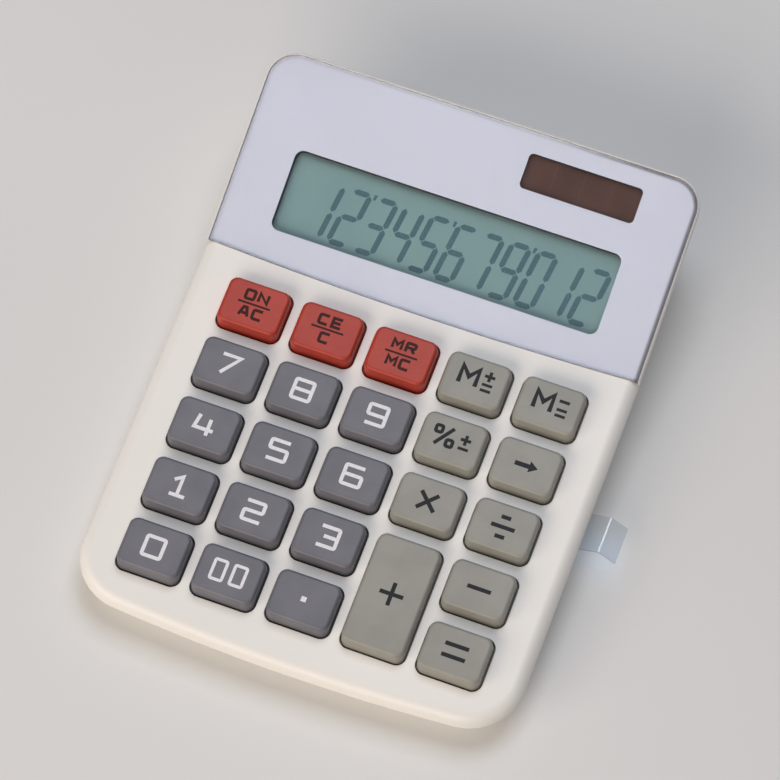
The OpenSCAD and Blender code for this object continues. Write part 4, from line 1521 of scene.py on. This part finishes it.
BOX = ((-1, -1), (1, -1), (1, 1), (-1, 1))
SIGNS: dict[str, tuple[Stroke, ...]] = {
    "0": (Stroke(BOX, closed=True),),
    "1": (Stroke(((-0.7, 0.5), (0.1, 1), (0.1, -1)), cut_end=True, round_corners=False),
          Stroke(((-0.75, -1), (0.95, -1)))),
    "2": (Stroke(((-1, 1), (1, 1), (1, 0), (-1, 0), (-1, -1), (1, -1))),),
    "3": (Stroke(((-1, 1), (1, 1), (1, -1), (-1, -1))), Stroke(((-0.5, 0), (1, 0)), cut_end=True)),
    "4": (Stroke(((-0.75, 1), (-1, -0.4), (1.1, -0.4)), round_corners=False),
          Stroke(((0.5, 0.75), (0.5, -0.4)), cut_end=True),
          Stroke(((0.5, -0.4), (0.5, -1)), cut_start=True)),
    "5": (Stroke(((1, 1), (-1, 1), (-1, 0.1), (1, 0.1), (1, -1), (-1, -1))),),
    "6": (Stroke(((1, 1), (-1, 1), (-1, -1), (1, -1), (1, 0.05), (-1, 0.05)), cut_end=True),),
    "7": (Stroke(((-1, 1), (1, 1), (-0.65, -1)), round_corners=False),),
    "8": (Stroke(BOX, closed=True), Stroke(((-1, 0), (1, 0)), cut_start=True, cut_end=True)),
    "9": (Stroke(((-1, -1), (1, -1), (1, 1), (-1, 1), (-1, -0.05), (1, -0.05)), cut_end=True),),
    "point": (Stroke(((0, -1), (0, 1))),),
    "bar": (Stroke(((-1, 0), (1, 0))),),
    "plus": (Stroke(((-1, 0), (1, 0))), Stroke(((0, 1), (0, 0)), cut_end=True),
             Stroke(((0, 0), (0, -1)), cut_start=True)),
    "times": (Stroke(((-1, -1), (1, 1))), Stroke(((-1, 1), (0, 0)), cut_end=True),
              Stroke(((0, 0), (1, -1)), cut_start=True)),
    "arrow": (Stroke(((-1, 0), (0.25, 0))), Stroke(((0.25, -1), (1, 0), (0.25, 1)), filled=True)),
    "slash": (Stroke(((-1, -1), (1, 1))),),
    "A": (Stroke(((-1, -1), (-0.35, 1), (0.35, 1), (1, -1)), round_corners=False),
          Stroke(((-0.8, -0.35), (0.8, -0.35)), cut_start=True, cut_end=True)),
    "C": (Stroke(((1, 1), (-1, 1), (-1, -1), (1, -1))),),
    "E": (Stroke(((1, 1), (-1, 1), (-1, -1), (1, -1)), round_corners=False),
          Stroke(((-1, 0), (0.8, 0)), cut_start=True)),
    "M": (Stroke(((-1, -1), (-1, 1), (0, -0.1), (1, 1), (1, -1)), round_corners=False),),
    "N": (Stroke(((-1, -1), (-1, 1), (1, -1), (1, 1)), round_corners=False),),
    "O": (Stroke(BOX, closed=True),),
    "R": (Stroke(((-1, -1), (-1, 1), (1, 1), (1, 0), (-1, 0)), cut_end=True),
          Stroke(((0.1, 0), (1, -1)), cut_start=True)),
}


def word_pair(upper: str, lower: str) -> tuple[Mark, ...]:
    """Set two short words above and below a dividing line.

    Args:
        upper: letters of the upper word.
        lower: letters of the lower word.

    Returns:
        The line and the letters.
    """
    pitch, wide, tall, line = 3.4, 2.2, 2.3, 0.75
    upper_y, lower_y = 2.45, -2.1
    marks = [Mark("bar", 0.0, 0.2, 8.2, 0.0, 0.5)]
    for word, y in ((upper, upper_y), (lower, lower_y)):
        for i, letter in enumerate(word):
            marks.append(Mark(letter, (i - (len(word) - 1) / 2) * pitch, y, wide, tall, line))
    return tuple(marks)


def equals_mark(x: float, y: float, wide: float, apart: float, line: float) -> tuple[Mark, Mark]:
    """Set two bars round a point, apart from middle to middle."""
    return Mark("bar", x, y + apart / 2, wide, 0.0, line), Mark("bar", x, y - apart / 2, wide, 0.0, line)


def memory_mark(sign: str) -> tuple[Mark, ...]:
    """Set a letter M with a small sign and two short bars at its right."""
    letter = Mark("M", -1.7, 0.6, 4.2, 4.5, 1.1)
    return letter, Mark(sign, 3.2, 1.9, 2.6, 2.6, 0.78), *equals_mark(3.2, -1.1, 2.6, 1.5, 0.72)


@dataclass(frozen=True)
class Key:
    """One key: its CAD node, its column and row from the rear left, its colour and its print."""

    node: str
    column: int
    row: int
    tone: KeyTone
    marks: tuple[Mark, ...]
    span: int = 1

    @property
    def x(self) -> float:
        """Place of the key across the deck."""
        return (self.column - (KEYPAD.columns - 1) / 2) * KEYPAD.col_pitch

    @property
    def y(self) -> float:
        """Place of the key up the deck."""
        return KEYPAD.first_row + (KEYPAD.rows - 1 - self.row - (self.span - 1) / 2) * KEYPAD.row_pitch

    @property
    def long(self) -> float:
        """Length of the key up the deck."""
        return KEYPAD.long + (self.span - 1) * KEYPAD.row_pitch


NARROW_ZERO = 3.0
DIGIT_KEYS = tuple(Key(f"key_{digit}", i % 3, 1 + i // 3, KeyTone.DARK, (Mark(digit),))
                   for i, digit in enumerate("789456123"))
OTHER_KEYS = (
    Key("key_on", 0, 0, KeyTone.RED, word_pair("ON", "AC")),
    Key("key_clear", 1, 0, KeyTone.RED, word_pair("CE", "C")),
    Key("key_memory_recall", 2, 0, KeyTone.RED, word_pair("MR", "MC")),
    Key("key_memory_plus", 3, 0, KeyTone.PALE, memory_mark("plus")),
    Key("key_memory_minus", 4, 0, KeyTone.PALE, memory_mark("bar")),
    Key("key_percent", 3, 1, KeyTone.PALE,
        (Mark("slash", -2.0, 0.5, 3.6, 5.0, 0.9), Mark("0", -3.7, 1.95, 1.6, 1.7, 0.85),
         Mark("0", -0.3, -0.95, 1.6, 1.7, 0.85), Mark("plus", 3.3, 1.1, 2.6, 2.6, 0.78),
         Mark("bar", 3.3, -1.2, 2.6, 0, 0.72))),
    Key("key_delete_last", 4, 1, KeyTone.PALE, (Mark("arrow", 0, 0, 5.8, 2.9, 1.15),)),
    Key("key_multiply", 3, 2, KeyTone.PALE, (Mark("times", 0, 0, 4.4, 4.4, 1.0),)),
    Key("key_divide", 4, 2, KeyTone.PALE,
        (Mark("bar", 0, 0, 5.9, 0, 1.0), *equals_mark(0, 0, 2.4, 5.0, 1.0))),
    Key("key_plus", 3, 3, KeyTone.PALE, (Mark("plus", 0, 0, 5.9, 5.9, 1.0),), 2),
    Key("key_minus", 4, 3, KeyTone.PALE, (Mark("bar", 0, 0, 5.9, 0, 1.0),)),
    Key("key_0", 0, 4, KeyTone.DARK, (Mark("0"),)),
    Key("key_double_zero", 1, 4, KeyTone.DARK,
        (Mark("0", -2.5, 0, NARROW_ZERO, 4.95, 0.75), Mark("0", 2.5, 0, NARROW_ZERO, 4.95, 0.75))),
    Key("key_point", 2, 4, KeyTone.DARK, (Mark("point", 0, 0, 0, 1.3, 1.3),)),
    Key("key_equals", 4, 4, KeyTone.PALE, equals_mark(0, 0, 5.9, 2.9, 1.0)),
)
KEYS = sorted(DIGIT_KEYS + OTHER_KEYS, key=lambda key: (key.row, key.column))


class Print:
    """Thin raised ink lines, laid on a sloped face at a given height, with sharp corners cut short."""

    mitre = 1.9
    corner_share = 0.55
    corner_steps = 4

    def __init__(self, slope: Slope, height: float, thick: float) -> None:
        """Start with no lines.

        Args:
            slope: face of the case that the print is parallel to.
            height: height of the printed surface above that face, in millimetres.
            thick: how far the ink stands up.
        """
        self.slope = slope
        self.low = height - thick
        self.high = height + thick
        self.shape = Shape()

    @staticmethod
    def rounded(points: Sequence[Vector], closed: bool, r: float) -> list[Vector]:
        """Replace the corners of a line by short curves.

        Args:
            points: corners of the line.
            closed: whether the last point joins the first.
            r: how far from its corner a curve starts.

        Returns:
            The points of the rounded line.
        """
        count = len(points)
        result: list[Vector] = []
        for i, p in enumerate(points):
            if not closed and i in (0, count - 1):
                result.append(p)
                continue
            before = (points[i - 1] - p).normalized()
            after = (points[(i + 1) % count] - p).normalized()
            start, end = p + before * r, p + after * r
            for step in range(Print.corner_steps + 1):
                t = step / Print.corner_steps
                result.append((1 - t) ** 2 * start + 2 * t * (1 - t) * p + t * t * end)
        return result

    def line(self, points: Sequence[Vector], width: float, closed: bool) -> None:
        """Add one line along points in the face's plane.

        Args:
            points: the points.
            width: width of the line.
            closed: whether the last point joins the first.
        """
        count = len(points)
        rings = []
        for i, p in enumerate(points):
            before = points[i] - points[i - 1] if closed or i else points[1] - points[0]
            after = points[(i + 1) % count] - p if closed or i < count - 1 else before
            before, after = before.normalized(), after.normalized()
            side = Vector((-(before + after).y, (before + after).x)).normalized()
            reach = min(1 / max(side.dot(Vector((-after.y, after.x))), 1 / FAR), self.mitre) * width / 2
            left, right = p + side * reach, p - side * reach
            corners = ((left, self.low), (right, self.low), (right, self.high), (left, self.high))
            rings.append([self.slope.at(q.x, q.y, z) for q, z in corners])
        self.shape.loft(rings, looped=closed)

    def mark(self, mark: Mark, x: float, y: float) -> None:
        """Add one sign.

        Args:
            mark: the sign.
            x: point of the face that the sign's own place is counted from.
            y: the same, up the slope.
        """
        for stroke in SIGNS[mark.sign]:
            points = [Vector((x + mark.x + px * mark.wide / 2, y + mark.y + py * mark.tall / 2))
                      for px, py in stroke.points]
            if stroke.filled:
                self.polygon([(p.x, p.y) for p in points])
                continue
            if stroke.cut_start:
                points[0] = points[0] + (points[1] - points[0]).normalized() * mark.line / 2
            if stroke.cut_end:
                points[-1] = points[-1] + (points[-2] - points[-1]).normalized() * mark.line / 2
            if stroke.round_corners and len(points) > 2:
                points = self.rounded(points, stroke.closed, mark.line * self.corner_share)
            self.line(points, mark.line, stroke.closed)

    def polygon(self, outline: Sequence[Point]) -> None:
        """Add one filled patch of ink."""
        self.shape.prism(self.slope, outline, self.low, self.high)


@dataclass
class Keyboard:
    """The 24 key caps with their print, and the rubber keypad with its domes under them."""

    corner_share: float = 0.7
    least_corner_r: float = 0.8
    dome_r: float = 4.6
    dome_top_r: float = 2.6
    dome_skin: float = 0.7
    dome_top: float = 3.1
    dome_tip_r: float = 0.3
    dome_tip_share: float = 0.3
    dome_shoulder: Point = (0.25, 0.15)
    dome_foot: Point = (0.2, 0.3)
    dome_steps: int = 40
    sheet_top: float = 5.7
    sheet_t: float = 0.7
    pad_margin: float = 2.0
    pad_corner_r: float = 5.0
    hole_r: float = 2.4
    hole_steps: int = 32

    def cap(self, key: Key) -> Shape:
        """Make a hollow cap: plunger, inside, flange, leaning sides, rounded edge and flat top.

        Args:
            key: the key.

        Returns:
            The closed cap.
        """
        lip = KEYPAD.gap + KEYPAD.flange_lip
        ceiling = KEYPAD.rise - KEYPAD.wall
        # Each level is a growth of the outline, the share of the lean that it has, and a height
        levels = [(-KEYPAD.wall, 1.0, ceiling), (-KEYPAD.wall, 1.0, -KEYPAD.flange_bottom)]
        levels += [(lip, 0.0, -KEYPAD.flange_bottom), (lip, 0.0, -KEYPAD.flange_top)]
        levels += [(0.0, 0.0, -KEYPAD.flange_top), (0.0, 0.0, 0.0)]
        shoulder = 1 - KEYPAD.edge_r / KEYPAD.rise
        levels += [(-inset, shoulder, KEYPAD.rise - depth) for inset, depth in quarter(KEYPAD.edge_r)]
        rings = []
        ring_shape = rounded_rect(KEYPAD.wide, key.long, KEYPAD.corner_r)
        circle = [Vector(p).normalized() * KEYPAD.plunger_r for p in ring_shape]
        for z in (-KEYPAD.flange_bottom, ceiling):
            rings.append([CASE.deck.at(key.x + p.x, key.y + p.y, z) for p in circle])
        for grow, leaned, z in levels:
            wide = KEYPAD.wide + 2 * (grow - leaned * KEYPAD.side_lean)
            long = key.long + 2 * (grow - leaned * KEYPAD.lean)
            r = max(KEYPAD.corner_r + min(grow, 0.0) * self.corner_share, self.least_corner_r)
            outline = rounded_rect(wide, long, r, key.x, key.y)
            rings.append([CASE.deck.at(x, y, z) for x, y in outline])
        return Shape().loft(rings)

    def build_key(self, key: Key) -> None:
        """Make one cap with its print as a second material.

        Args:
            key: the key.
        """
        plastic, ink, slot = key.tone.value
        ink_lines = Print(CASE.deck, KEYPAD.rise, KEYPAD.print_t)
        for mark in key.marks:
            ink_lines.mark(mark, key.x, key.y)
        cap = self.cap(key)
        cap_faces = len(cap.mesh.faces)
        lines = bpy.data.meshes.new("ink")
        ink_lines.shape.mesh.to_mesh(lines)
        ink_lines.shape.mesh.free()
        cap.mesh.from_mesh(lines)
        bpy.data.meshes.remove(lines)
        cap.mesh.faces.ensure_lookup_table()
        for face in cap.mesh.faces[cap_faces:]:
            face.material_index = 1
        piece = cap.piece(f"{key.node}_cap")
        finish_piece(piece, key.node, [plastic, ink], [key.node])

    def build_pad(self) -> None:
        """Make the rubber sheet and one dome under each key."""
        front = KEYPAD.first_row - KEYPAD.long / 2 - KEYPAD.gap
        rear = KEYPAD.first_row + (KEYPAD.rows - 1) * KEYPAD.row_pitch + KEYPAD.long / 2
        rear += KEYPAD.gap + KEYPAD.flange_lip
        wide = (KEYPAD.columns - 1) * KEYPAD.col_pitch + KEYPAD.wide + 2 * self.pad_margin
        outline = rounded_rect(wide, rear - front, self.pad_corner_r, 0, (front + rear) / 2)
        bottom = -self.sheet_top - self.sheet_t
        piece = Shape().prism(CASE.deck, outline, bottom, -self.sheet_top).piece("keypad_sheet")
        holes = Shape()
        for place in KEYPAD.board_screws + KEYPAD.case_screws:
            ring = full_circle(*KEYPAD.between(place), self.hole_r, self.hole_steps)
            holes.prism(CASE.deck, ring, bottom - PAST, PAST - self.sheet_top)
        combine(piece, holes, Join.CUT)
        finish_piece(piece, "case", [SILICONE], ["rubber_keypad"])
        for key in KEYS:
            dome = self.dome(key).piece(f"{key.node}_dome")
            finish_piece(dome, "case", [SILICONE])
            anchor = CASE.deck.at(key.x, key.y, -self.sheet_top) * MM
            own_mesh(dome)

    def dome(self, key: Key) -> Shape:
        """Make one hollow dome: foot, flexing skirt and flat top.

        Args:
            key: the key above it.

        Returns:
            The closed dome.
        """
        skin = self.dome_skin
        profile = [(self.dome_r - skin, self.sheet_top), (self.dome_top_r - skin, self.dome_top + skin),
                   (self.dome_tip_r, self.dome_top + skin)]
        shoulder, foot = self.dome_shoulder, self.dome_foot
        outside = [(self.dome_top_r * self.dome_tip_share, self.dome_top),
                   (self.dome_top_r, self.dome_top),
                   (self.dome_top_r + shoulder[0], self.dome_top + shoulder[1]),
                   (self.dome_r - foot[0], self.sheet_top - foot[1]), (self.dome_r, self.sheet_top)]
        rings = []
        for r, depth in list(reversed(profile)) + list(reversed(outside)):
            ring = full_circle(key.x, key.y, r, self.dome_steps)
            rings.append([CASE.deck.at(x, y, -depth) for x, y in ring])
        return Shape().loft(rings)

    def build(self) -> None:
        """Make all keys and the pad below them."""
        for key in KEYS:
            self.build_key(key)
        self.build_pad()


# Display head


class Segment(Enum):
    """The seven strokes of a display figure."""

    TOP = "a"
    UPPER_RIGHT = "b"
    LOWER_RIGHT = "c"
    BOTTOM = "d"
    LOWER_LEFT = "e"
    UPPER_LEFT = "f"
    MIDDLE = "g"


FIGURES = {"0": "abcdef", "1": "bc", "2": "abdeg", "3": "abcdg", "4": "bcfg",
           "5": "acdfg", "6": "acdefg", "7": "abc", "8": "abcdefg", "9": "abcdfg"}


@dataclass
class DisplayHead:
    """Clear plate, its print, the liquid-crystal cell with its figures and the solar cell."""

    clear_t: float = 0.7
    plate_edge_r: float = 0.6
    plate_front_r: float = 0.12
    print_front: float = 0.12
    inked_tilt: float = 0.7
    air: float = 0.02
    glass_depth: float = 2.7
    solar_depth: float = 1.9
    glass_gap: float = 0.1
    bevel: float = 0.2
    ledge_w: float = 0.5
    figure: str = "12345679012"
    figure_pitch: float = 6.9
    figure_w: float = 4.4
    figure_h: float = 13.6
    figure_line: float = 1.4
    figure_gap: float = 0.14
    figure_t: float = 0.02
    figure_lean: float = 8.0
    last_x: float = 37.4
    figure_s: float = 17.7
    tick_places: tuple[int, ...] = (2, 5, 8)
    tick_top: float = 0.6
    tick_foot: float = 0.4
    polariser_t: float = 0.2
    polariser_in: float = 1.2

    def build_plate(self) -> None:
        """Make the clear plate with rounded edges and a softened front edge at the seam."""
        rings = []
        levels = [(0.0, self.clear_t)] + quarter(self.plate_edge_r)
        for inset, depth in levels:
            rise = max(self.plate_front_r - depth, 0.0)
            back = self.plate_front_r - math.sqrt(self.plate_front_r ** 2 - rise ** 2)
            from_edge = CASE.rim_w + CASE.rim_gap + inset
            front = seam_points(CASE.half_w - from_edge, CASE.touch_gap + back)
            outline = front + head_rear(from_edge, CASE.head_l)
            rings.append([CASE.head.at(x, y, -depth) for x, y in outline])
        piece = Shape().loft(rings).piece("clear_plate")
        # The narrow front wall at the seam carries the same ink as the back
        uphill = CASE.head.at(0.0, 1.0, 0.0) - CASE.head.at(0.0, 0.0, 0.0)
        for face in piece.data.polygons:
            if face.normal.dot(uphill) < -self.inked_tilt:
                face.material_index = 1
        finish_piece(piece, "case", [ACRYLIC, PANEL_PRINT],
                     ["display_plate"])

    def build_print(self) -> None:
        """Make the printed panel under the clear layer, with dark walls round its two windows."""
        inset = CASE.print_inset
        outline = seam_points(CASE.half_w - inset, self.print_front) + head_rear(inset, CASE.head_l)
        top, bottom = -self.clear_t - self.air, -CASE.seat_depth
        piece = Shape().prism(CASE.head, outline, bottom, top).piece("printed_panel")
        for window in (WINDOWS.lcd, WINDOWS.solar):
            cutter = Shape().prism(CASE.head, window.outline(), bottom - PAST, top + PAST)
            combine(piece, cutter, Join.CUT)
            # The upright walls of each window get the dark material
            darken_well_walls(piece, window)
        finish_piece(piece, "case", [PANEL_PRINT, WINDOW_BLACK],
                     ["plate_backing"])

    def stepped(self, steps: Sequence[tuple[float, float]], window: Window, face_depth: float) -> Shape:
        """Make a stepped glass plate behind a window, with a raised face that fills the window.

        Args:
            steps: growths of the window's outline and depths below the head, from the bottom up.
            window: the window.
            face_depth: depth of the raised face below the head.

        Returns:
            The closed plate.
        """
        levels = []
        for grow, depth in steps:
            wide, long = window.wide + 2 * grow, window.long + 2 * grow
            levels.append((rounded_rect(wide, long, self.bevel, window.x, window.s), depth))
        face = window.outline(-self.glass_gap)
        levels += [(face, steps[-1][1]), (face, face_depth)]
        rings = [[CASE.head.at(x, s, -depth) for x, s in outline] for outline, depth in levels]
        return Shape().loft(rings)

    def build_cells(self) -> None:
        """Make the liquid-crystal sandwich and the solar cell as stepped glass plates."""
        top = CASE.seat_depth + CASE.wall
        middle = top + self.polariser_t + (WINDOWS.lcd_t - self.polariser_t) / 2
        lap = WINDOWS.lcd_lap
        ledge, trim = lap - self.ledge_w, lap - self.polariser_in
        film = top + self.polariser_t
        steps = [(lap, top + WINDOWS.lcd_t), (lap, middle), (ledge, middle), (ledge, film), (trim, film),
                 (trim, top)]
        piece = self.stepped(steps, WINDOWS.lcd, self.glass_depth).piece("display_cell")
        finish_piece(piece, "case", [DISPLAY_GLASS], ["lcd_cell"])
        top = CASE.seat_depth + CASE.touch_gap
        lap = WINDOWS.solar_lap
        steps = [(lap, top + WINDOWS.solar_t), (lap, top + self.bevel), (lap - self.bevel, top)]
        piece = self.stepped(steps, WINDOWS.solar, self.solar_depth).piece("solar_glass")
        finish_piece(piece, "case", [SOLAR_GLASS], ["solar_cell"])

    def stroke_outline(self, segment: Segment) -> list[Point]:
        """Give the six-sided outline of one stroke of a figure.

        Args:
            segment: which stroke.

        Returns:
            The points, counted from the figure's middle.
        """
        t = self.figure_line / 2
        x, y = self.figure_w / 2, self.figure_h / 2
        gap = self.figure_gap
        ends = {
            Segment.TOP: ((-x, y), (x, y)), Segment.MIDDLE: ((-x, 0), (x, 0)),
            Segment.BOTTOM: ((-x, -y), (x, -y)),
            Segment.UPPER_RIGHT: ((x, 0), (x, y)), Segment.LOWER_RIGHT: ((x, -y), (x, 0)),
            Segment.UPPER_LEFT: ((-x, 0), (-x, y)), Segment.LOWER_LEFT: ((-x, -y), (-x, 0)),
        }
        start, end = (Vector(p) for p in ends[segment])
        along = (end - start).normalized()
        side = Vector((-along.y, along.x))
        near, far = start + along * (gap + t), end - along * (gap + t)
        points = (start + along * gap, near - side * t, far - side * t,
                  end - along * gap, far + side * t, near + side * t)
        return [(p.x, p.y) for p in points]

    def build_figures(self) -> None:
        """Make the lit strokes of the display figures and the ticks between groups of three."""
        ink = Print(CASE.head, -self.glass_depth, self.figure_t)
        lean = math.tan(math.radians(self.figure_lean))
        count = len(self.figure)
        for place, digit in enumerate(self.figure):
            x = self.last_x - (count - 1 - place) * self.figure_pitch
            for code in FIGURES[digit]:
                outline = self.stroke_outline(Segment(code))
                ink.polygon([(x + px + py * lean, self.figure_s + py) for px, py in outline])
            if place + 1 in self.tick_places:
                self.tick(ink, x + self.figure_pitch / 2, lean)
        piece = ink.shape.piece("display_figures")
        finish_piece(piece, "case", [SEGMENTS])

    def tick(self, ink: Print, x: float, lean: float) -> None:
        """Add one tick near the top of the figures, between two of them.

        Args:
            ink: print to add it to.
            x: place of the tick before it leans.
            lean: run over rise of the lean.
        """
        y = self.figure_h / 2
        t = self.figure_line / 2
        top, foot = t * self.tick_top, t * self.tick_foot
        outline = ((-top, y + t), (-foot, y - t), (foot, y - t), (top, y + t))
        ink.polygon([(x + px + py * lean, self.figure_s + py) for px, py in outline])

    def build(self) -> None:
        """Make all pieces of the head."""
        self.build_plate()
        self.build_print()
        self.build_cells()
        self.build_figures()


# Battery bay


@dataclass
class BatteryBay:
    """Sliding door in the underside with its grip ribs, and the folded pull tab."""

    rib_count: int = 7
    rib_pitch: float = 1.3
    rib_r: float = 0.35
    rib_l: float = 9.0
    rib_from: float = 36.0
    fold_r: float = 0.8

    def build_door(self) -> None:
        """Make the door from the same block as the case, with its tongues."""
        piece = deck_block(0, 0, CASE.deck_l).piece("door_cover")
        combine(piece, deck_block(CASE.wall, CASE.wall, CASE.deck_l - CASE.crease_land), Join.CUT)
        inner = BAY.cell_x - BAY.cell_r - CASE.slip + CASE.touch_gap
        half = BAY.cell_r + CASE.slip - BAY.door_gap
        tongue_z = CASE.feet_h + BAY.door_t - BAY.tongue_t
        end_top = CASE.feet_h + BAY.door_end_h - BAY.door_gap
        room = Shape().block((inner, BAY.cell_y - half, 0.0),
                             (FAR, BAY.cell_y + half, end_top)).piece("room")
        tongues = Shape().block((inner, BAY.cell_y - half - BAY.tongue_w, tongue_z),
                                (BAY.cell_x + BAY.cell_r, BAY.cell_y + half + BAY.tongue_w,
                                 tongue_z + BAY.tongue_t))
        combine(room, tongues, Join.ADD)
        shape = Shape()
        shape.mesh.from_mesh(room.data)
        bpy.data.meshes.remove(room.data)
        combine(piece, shape, Join.SHARE)
        above = Shape().block((inner - PAST, -FAR, CASE.feet_h + BAY.door_t),
                              (BAY.cell_x + BAY.cell_r + CASE.slip, FAR, FAR))
        combine(piece, above, Join.CUT)
        finish_piece(piece, "battery_door", [CREAM_ABS], ["battery_door"])
        points = [Vector((self.rib_from + i * self.rib_pitch, BAY.cell_y, CASE.feet_h))
                  for i in range(self.rib_count)]
        ribs = rib_tree(self.rib_r, self.rib_l).run("door_grip_ribs", points, 0.0, CREAM_ABS)
        finish_piece(ribs, "battery_door", [CREAM_ABS])

    def build_tab(self) -> None:
        """Make the folded film with rounded folds."""
        z = BAY.cell_top + CASE.touch_gap + BAY.tab_t / 2
        path = [Vector((BAY.cell_x - BAY.tab_grip, z)), Vector((CASE.half_w - PAST, z)),
                Vector((CASE.half_w + BAY.tab_fold, z + BAY.tab_rise)),
                Vector((CASE.half_w + BAY.tab_reach, z + BAY.tab_rise - BAY.tab_drop))]
        path = Print.rounded(path, False, self.fold_r)
        half = BAY.tab_w / 2
        rings = []
        for i, p in enumerate(path):
            before = p - path[i - 1] if i else path[1] - p
            after = path[i + 1] - p if i < len(path) - 1 else before
            along = (before.normalized() + after.normalized()).normalized()
            side = Vector((-along.y, along.x)) * BAY.tab_t / 2
            upper, lower = p + side, p - side
            corners = ((upper, -half), (lower, -half), (lower, half), (upper, half))
            rings.append([Vector((q.x, BAY.cell_y + y, q.y)) for q, y in corners])
        piece = Shape().loft(rings).piece("pull_film")
        finish_piece(piece, "battery_pull_tab", [FILM], ["battery_pull_tab"])

    def build(self) -> None:
        """Make the door and the tab."""
        self.build_door()
        self.build_tab()


# Inside


@dataclass
class Inside:
    """Pieces inside the case: those whose CAD shape stays get a finish, and screws get real heads."""

    retainer_bottom: float = 8.0
    ear_x: float = 49.1
    board_shank_l: float = 4.6
    ear_shank_l: float = 4.0
    finishes: dict[str, Finish] = field(default_factory=lambda: {
        "lcd_retainer": WHITE_PLASTIC, "lcd_ribbon": RIBBON, "solar_leads": SLEEVES,
        "main_board": LAMINATE, "chip_cover": EPOXY, "capacitor": CAP_SLEEVE, "coin_cell": NICKEL,
        "cell_spring": BRASS, "cell_clip": BRASS})

    def build(self) -> None:
        """Dress the kept nodes and make the inner screws."""
        for name, finish in self.finishes.items():
            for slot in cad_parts[name].material_slots:
                slot.material = finish.material()
            LOG.info("%s: kept, in %s", name, finish.name)
        points = [CASE.deck.at(*KEYPAD.between(place), -KEYPAD.board_bottom)
                  for place in KEYPAD.board_screws]
        screws = screw_tree(self.board_shank_l).run("board_screw_set", points, CASE.deck_slope, STEEL)
        finish_piece(screws, "case", [STEEL], ["board_screws"])
        points = [CASE.head.at(x * self.ear_x, WINDOWS.lcd.s, -self.retainer_bottom) for x in (-1, 1)]
        screws = screw_tree(self.ear_shank_l).run("retainer_screw_set", points, CASE.head_slope, STEEL)
        finish_piece(screws, "case", [STEEL], ["retainer_screws"])


# Studio


@dataclass(frozen=True)
class SoftBox:
    """A soft lamp: its place, width and height in metres, its power in watts and its colour."""

    name: str
    place: tuple[float, float, float]
    wide: float
    tall: float
    power: float
    colour: str

    def build(self) -> None:
        """Make the lamp, aimed at the calculator."""
        lamp = bpy.data.lights.new(self.name, "AREA")
        lamp.shape = "RECTANGLE"
        lamp.size = self.wide
        lamp.size_y = self.tall
        lamp.energy = self.power
        lamp.color = to_linear(self.colour)[:3]
        holder = bpy.data.objects.new(self.name, lamp)
        holder.location = self.place
        holder.rotation_euler = (-Vector(self.place)).to_track_quat("-Z", "Y").to_euler()
        bpy.context.scene.collection.objects.link(holder)


@dataclass
class Studio:
    """Pale floor, soft lamps and the camera at the photograph's view."""

    aim: tuple[float, float, float] = (-0.0002, 0.0029, 0.01443)
    azimuth: float = 20.46
    elevation: float = 64.97
    distance: float = 1.023
    lens: float = 195.57
    sensor: float = 36.0
    floor_r: float = 3.0
    floor_steps: int = 96
    sky: str = "#e4e7ec"
    sky_light: float = 0.15
    sky_shown: float = 0.9
    lamps: tuple[SoftBox, ...] = (
        SoftBox("front_lamp", (-0.46, -1.18, 0.73), 1.6, 0.8, 17.5, "#fff0e2"),
        SoftBox("top_lamp", (0.0, 0.5, 1.25), 0.8, 0.8, 8.8, "#eef1fb"),
    )

    def build_floor(self) -> None:
        """Make a large round floor under the feet."""
        data = bpy.data.meshes.new("floor")
        rim = full_circle(0, 0, self.floor_r, self.floor_steps)
        data.from_pydata([(x, y, 0.0) for x, y in rim], [], [list(range(len(rim)))])
        floor = bpy.data.objects.new("floor", data)
        bpy.context.scene.collection.objects.link(floor)
        data.materials.append(FLOOR_PAPER.material())

    def build_world(self) -> None:
        """Make a dim sky for the shade, shown pale behind the floor."""
        world = bpy.data.worlds.new("studio")
        world.use_nodes = True
        tree = world.node_tree
        tree.nodes.clear()
        path = add_node(tree, "ShaderNodeLightPath")
        dim = add_node(tree, "ShaderNodeBackground", None, {
            "Color": to_linear(self.sky), "Strength": self.sky_light})
        shown = add_node(tree, "ShaderNodeBackground", None, {
            "Color": to_linear(self.sky), "Strength": self.sky_shown})
        mix = add_node(tree, "ShaderNodeMixShader", None, {
            0: path.outputs["Is Camera Ray"], 1: dim.outputs[0], 2: shown.outputs[0]})
        add_node(tree, "ShaderNodeOutputWorld", None, {"Surface": mix.outputs[0]})
        bpy.context.scene.world = world

    def build_camera(self) -> None:
        """Make the camera at the photograph's viewing angle."""
        turn, rise = math.radians(self.azimuth), math.radians(self.elevation)
        flat = math.cos(rise)
        away = Vector((math.sin(turn) * flat, -math.cos(turn) * flat, math.sin(rise)))
        data = bpy.data.cameras.new("photo_view")
        data.lens = self.lens
        data.sensor_width = self.sensor
        camera = bpy.data.objects.new("photo_view", data)
        camera.location = Vector(self.aim) + away * self.distance
        camera.rotation_euler = (-away).to_track_quat("-Z", "Y").to_euler()
        bpy.context.scene.collection.objects.link(camera)
        bpy.context.scene.camera = camera

    def build(self) -> None:
        """Make floor, world, lamps and camera."""
        bpy.context.scene.view_settings.view_transform = "Standard"
        self.build_floor()
        self.build_world()
        for lamp in self.lamps:
            lamp.build()
        self.build_camera()


def main() -> None:
    """Build every sub-assembly in order."""
    logging.basicConfig(level=logging.INFO, format="%(name)s %(message)s")
    Studio().build()
    shells = CaseShells()
    shells.build_top()
    shells.build_bottom()
    shells.build_fittings()
    Keyboard().build()
    DisplayHead().build()
    BatteryBay().build()
    Inside().build()


if __name__ == "__main__":
    main()
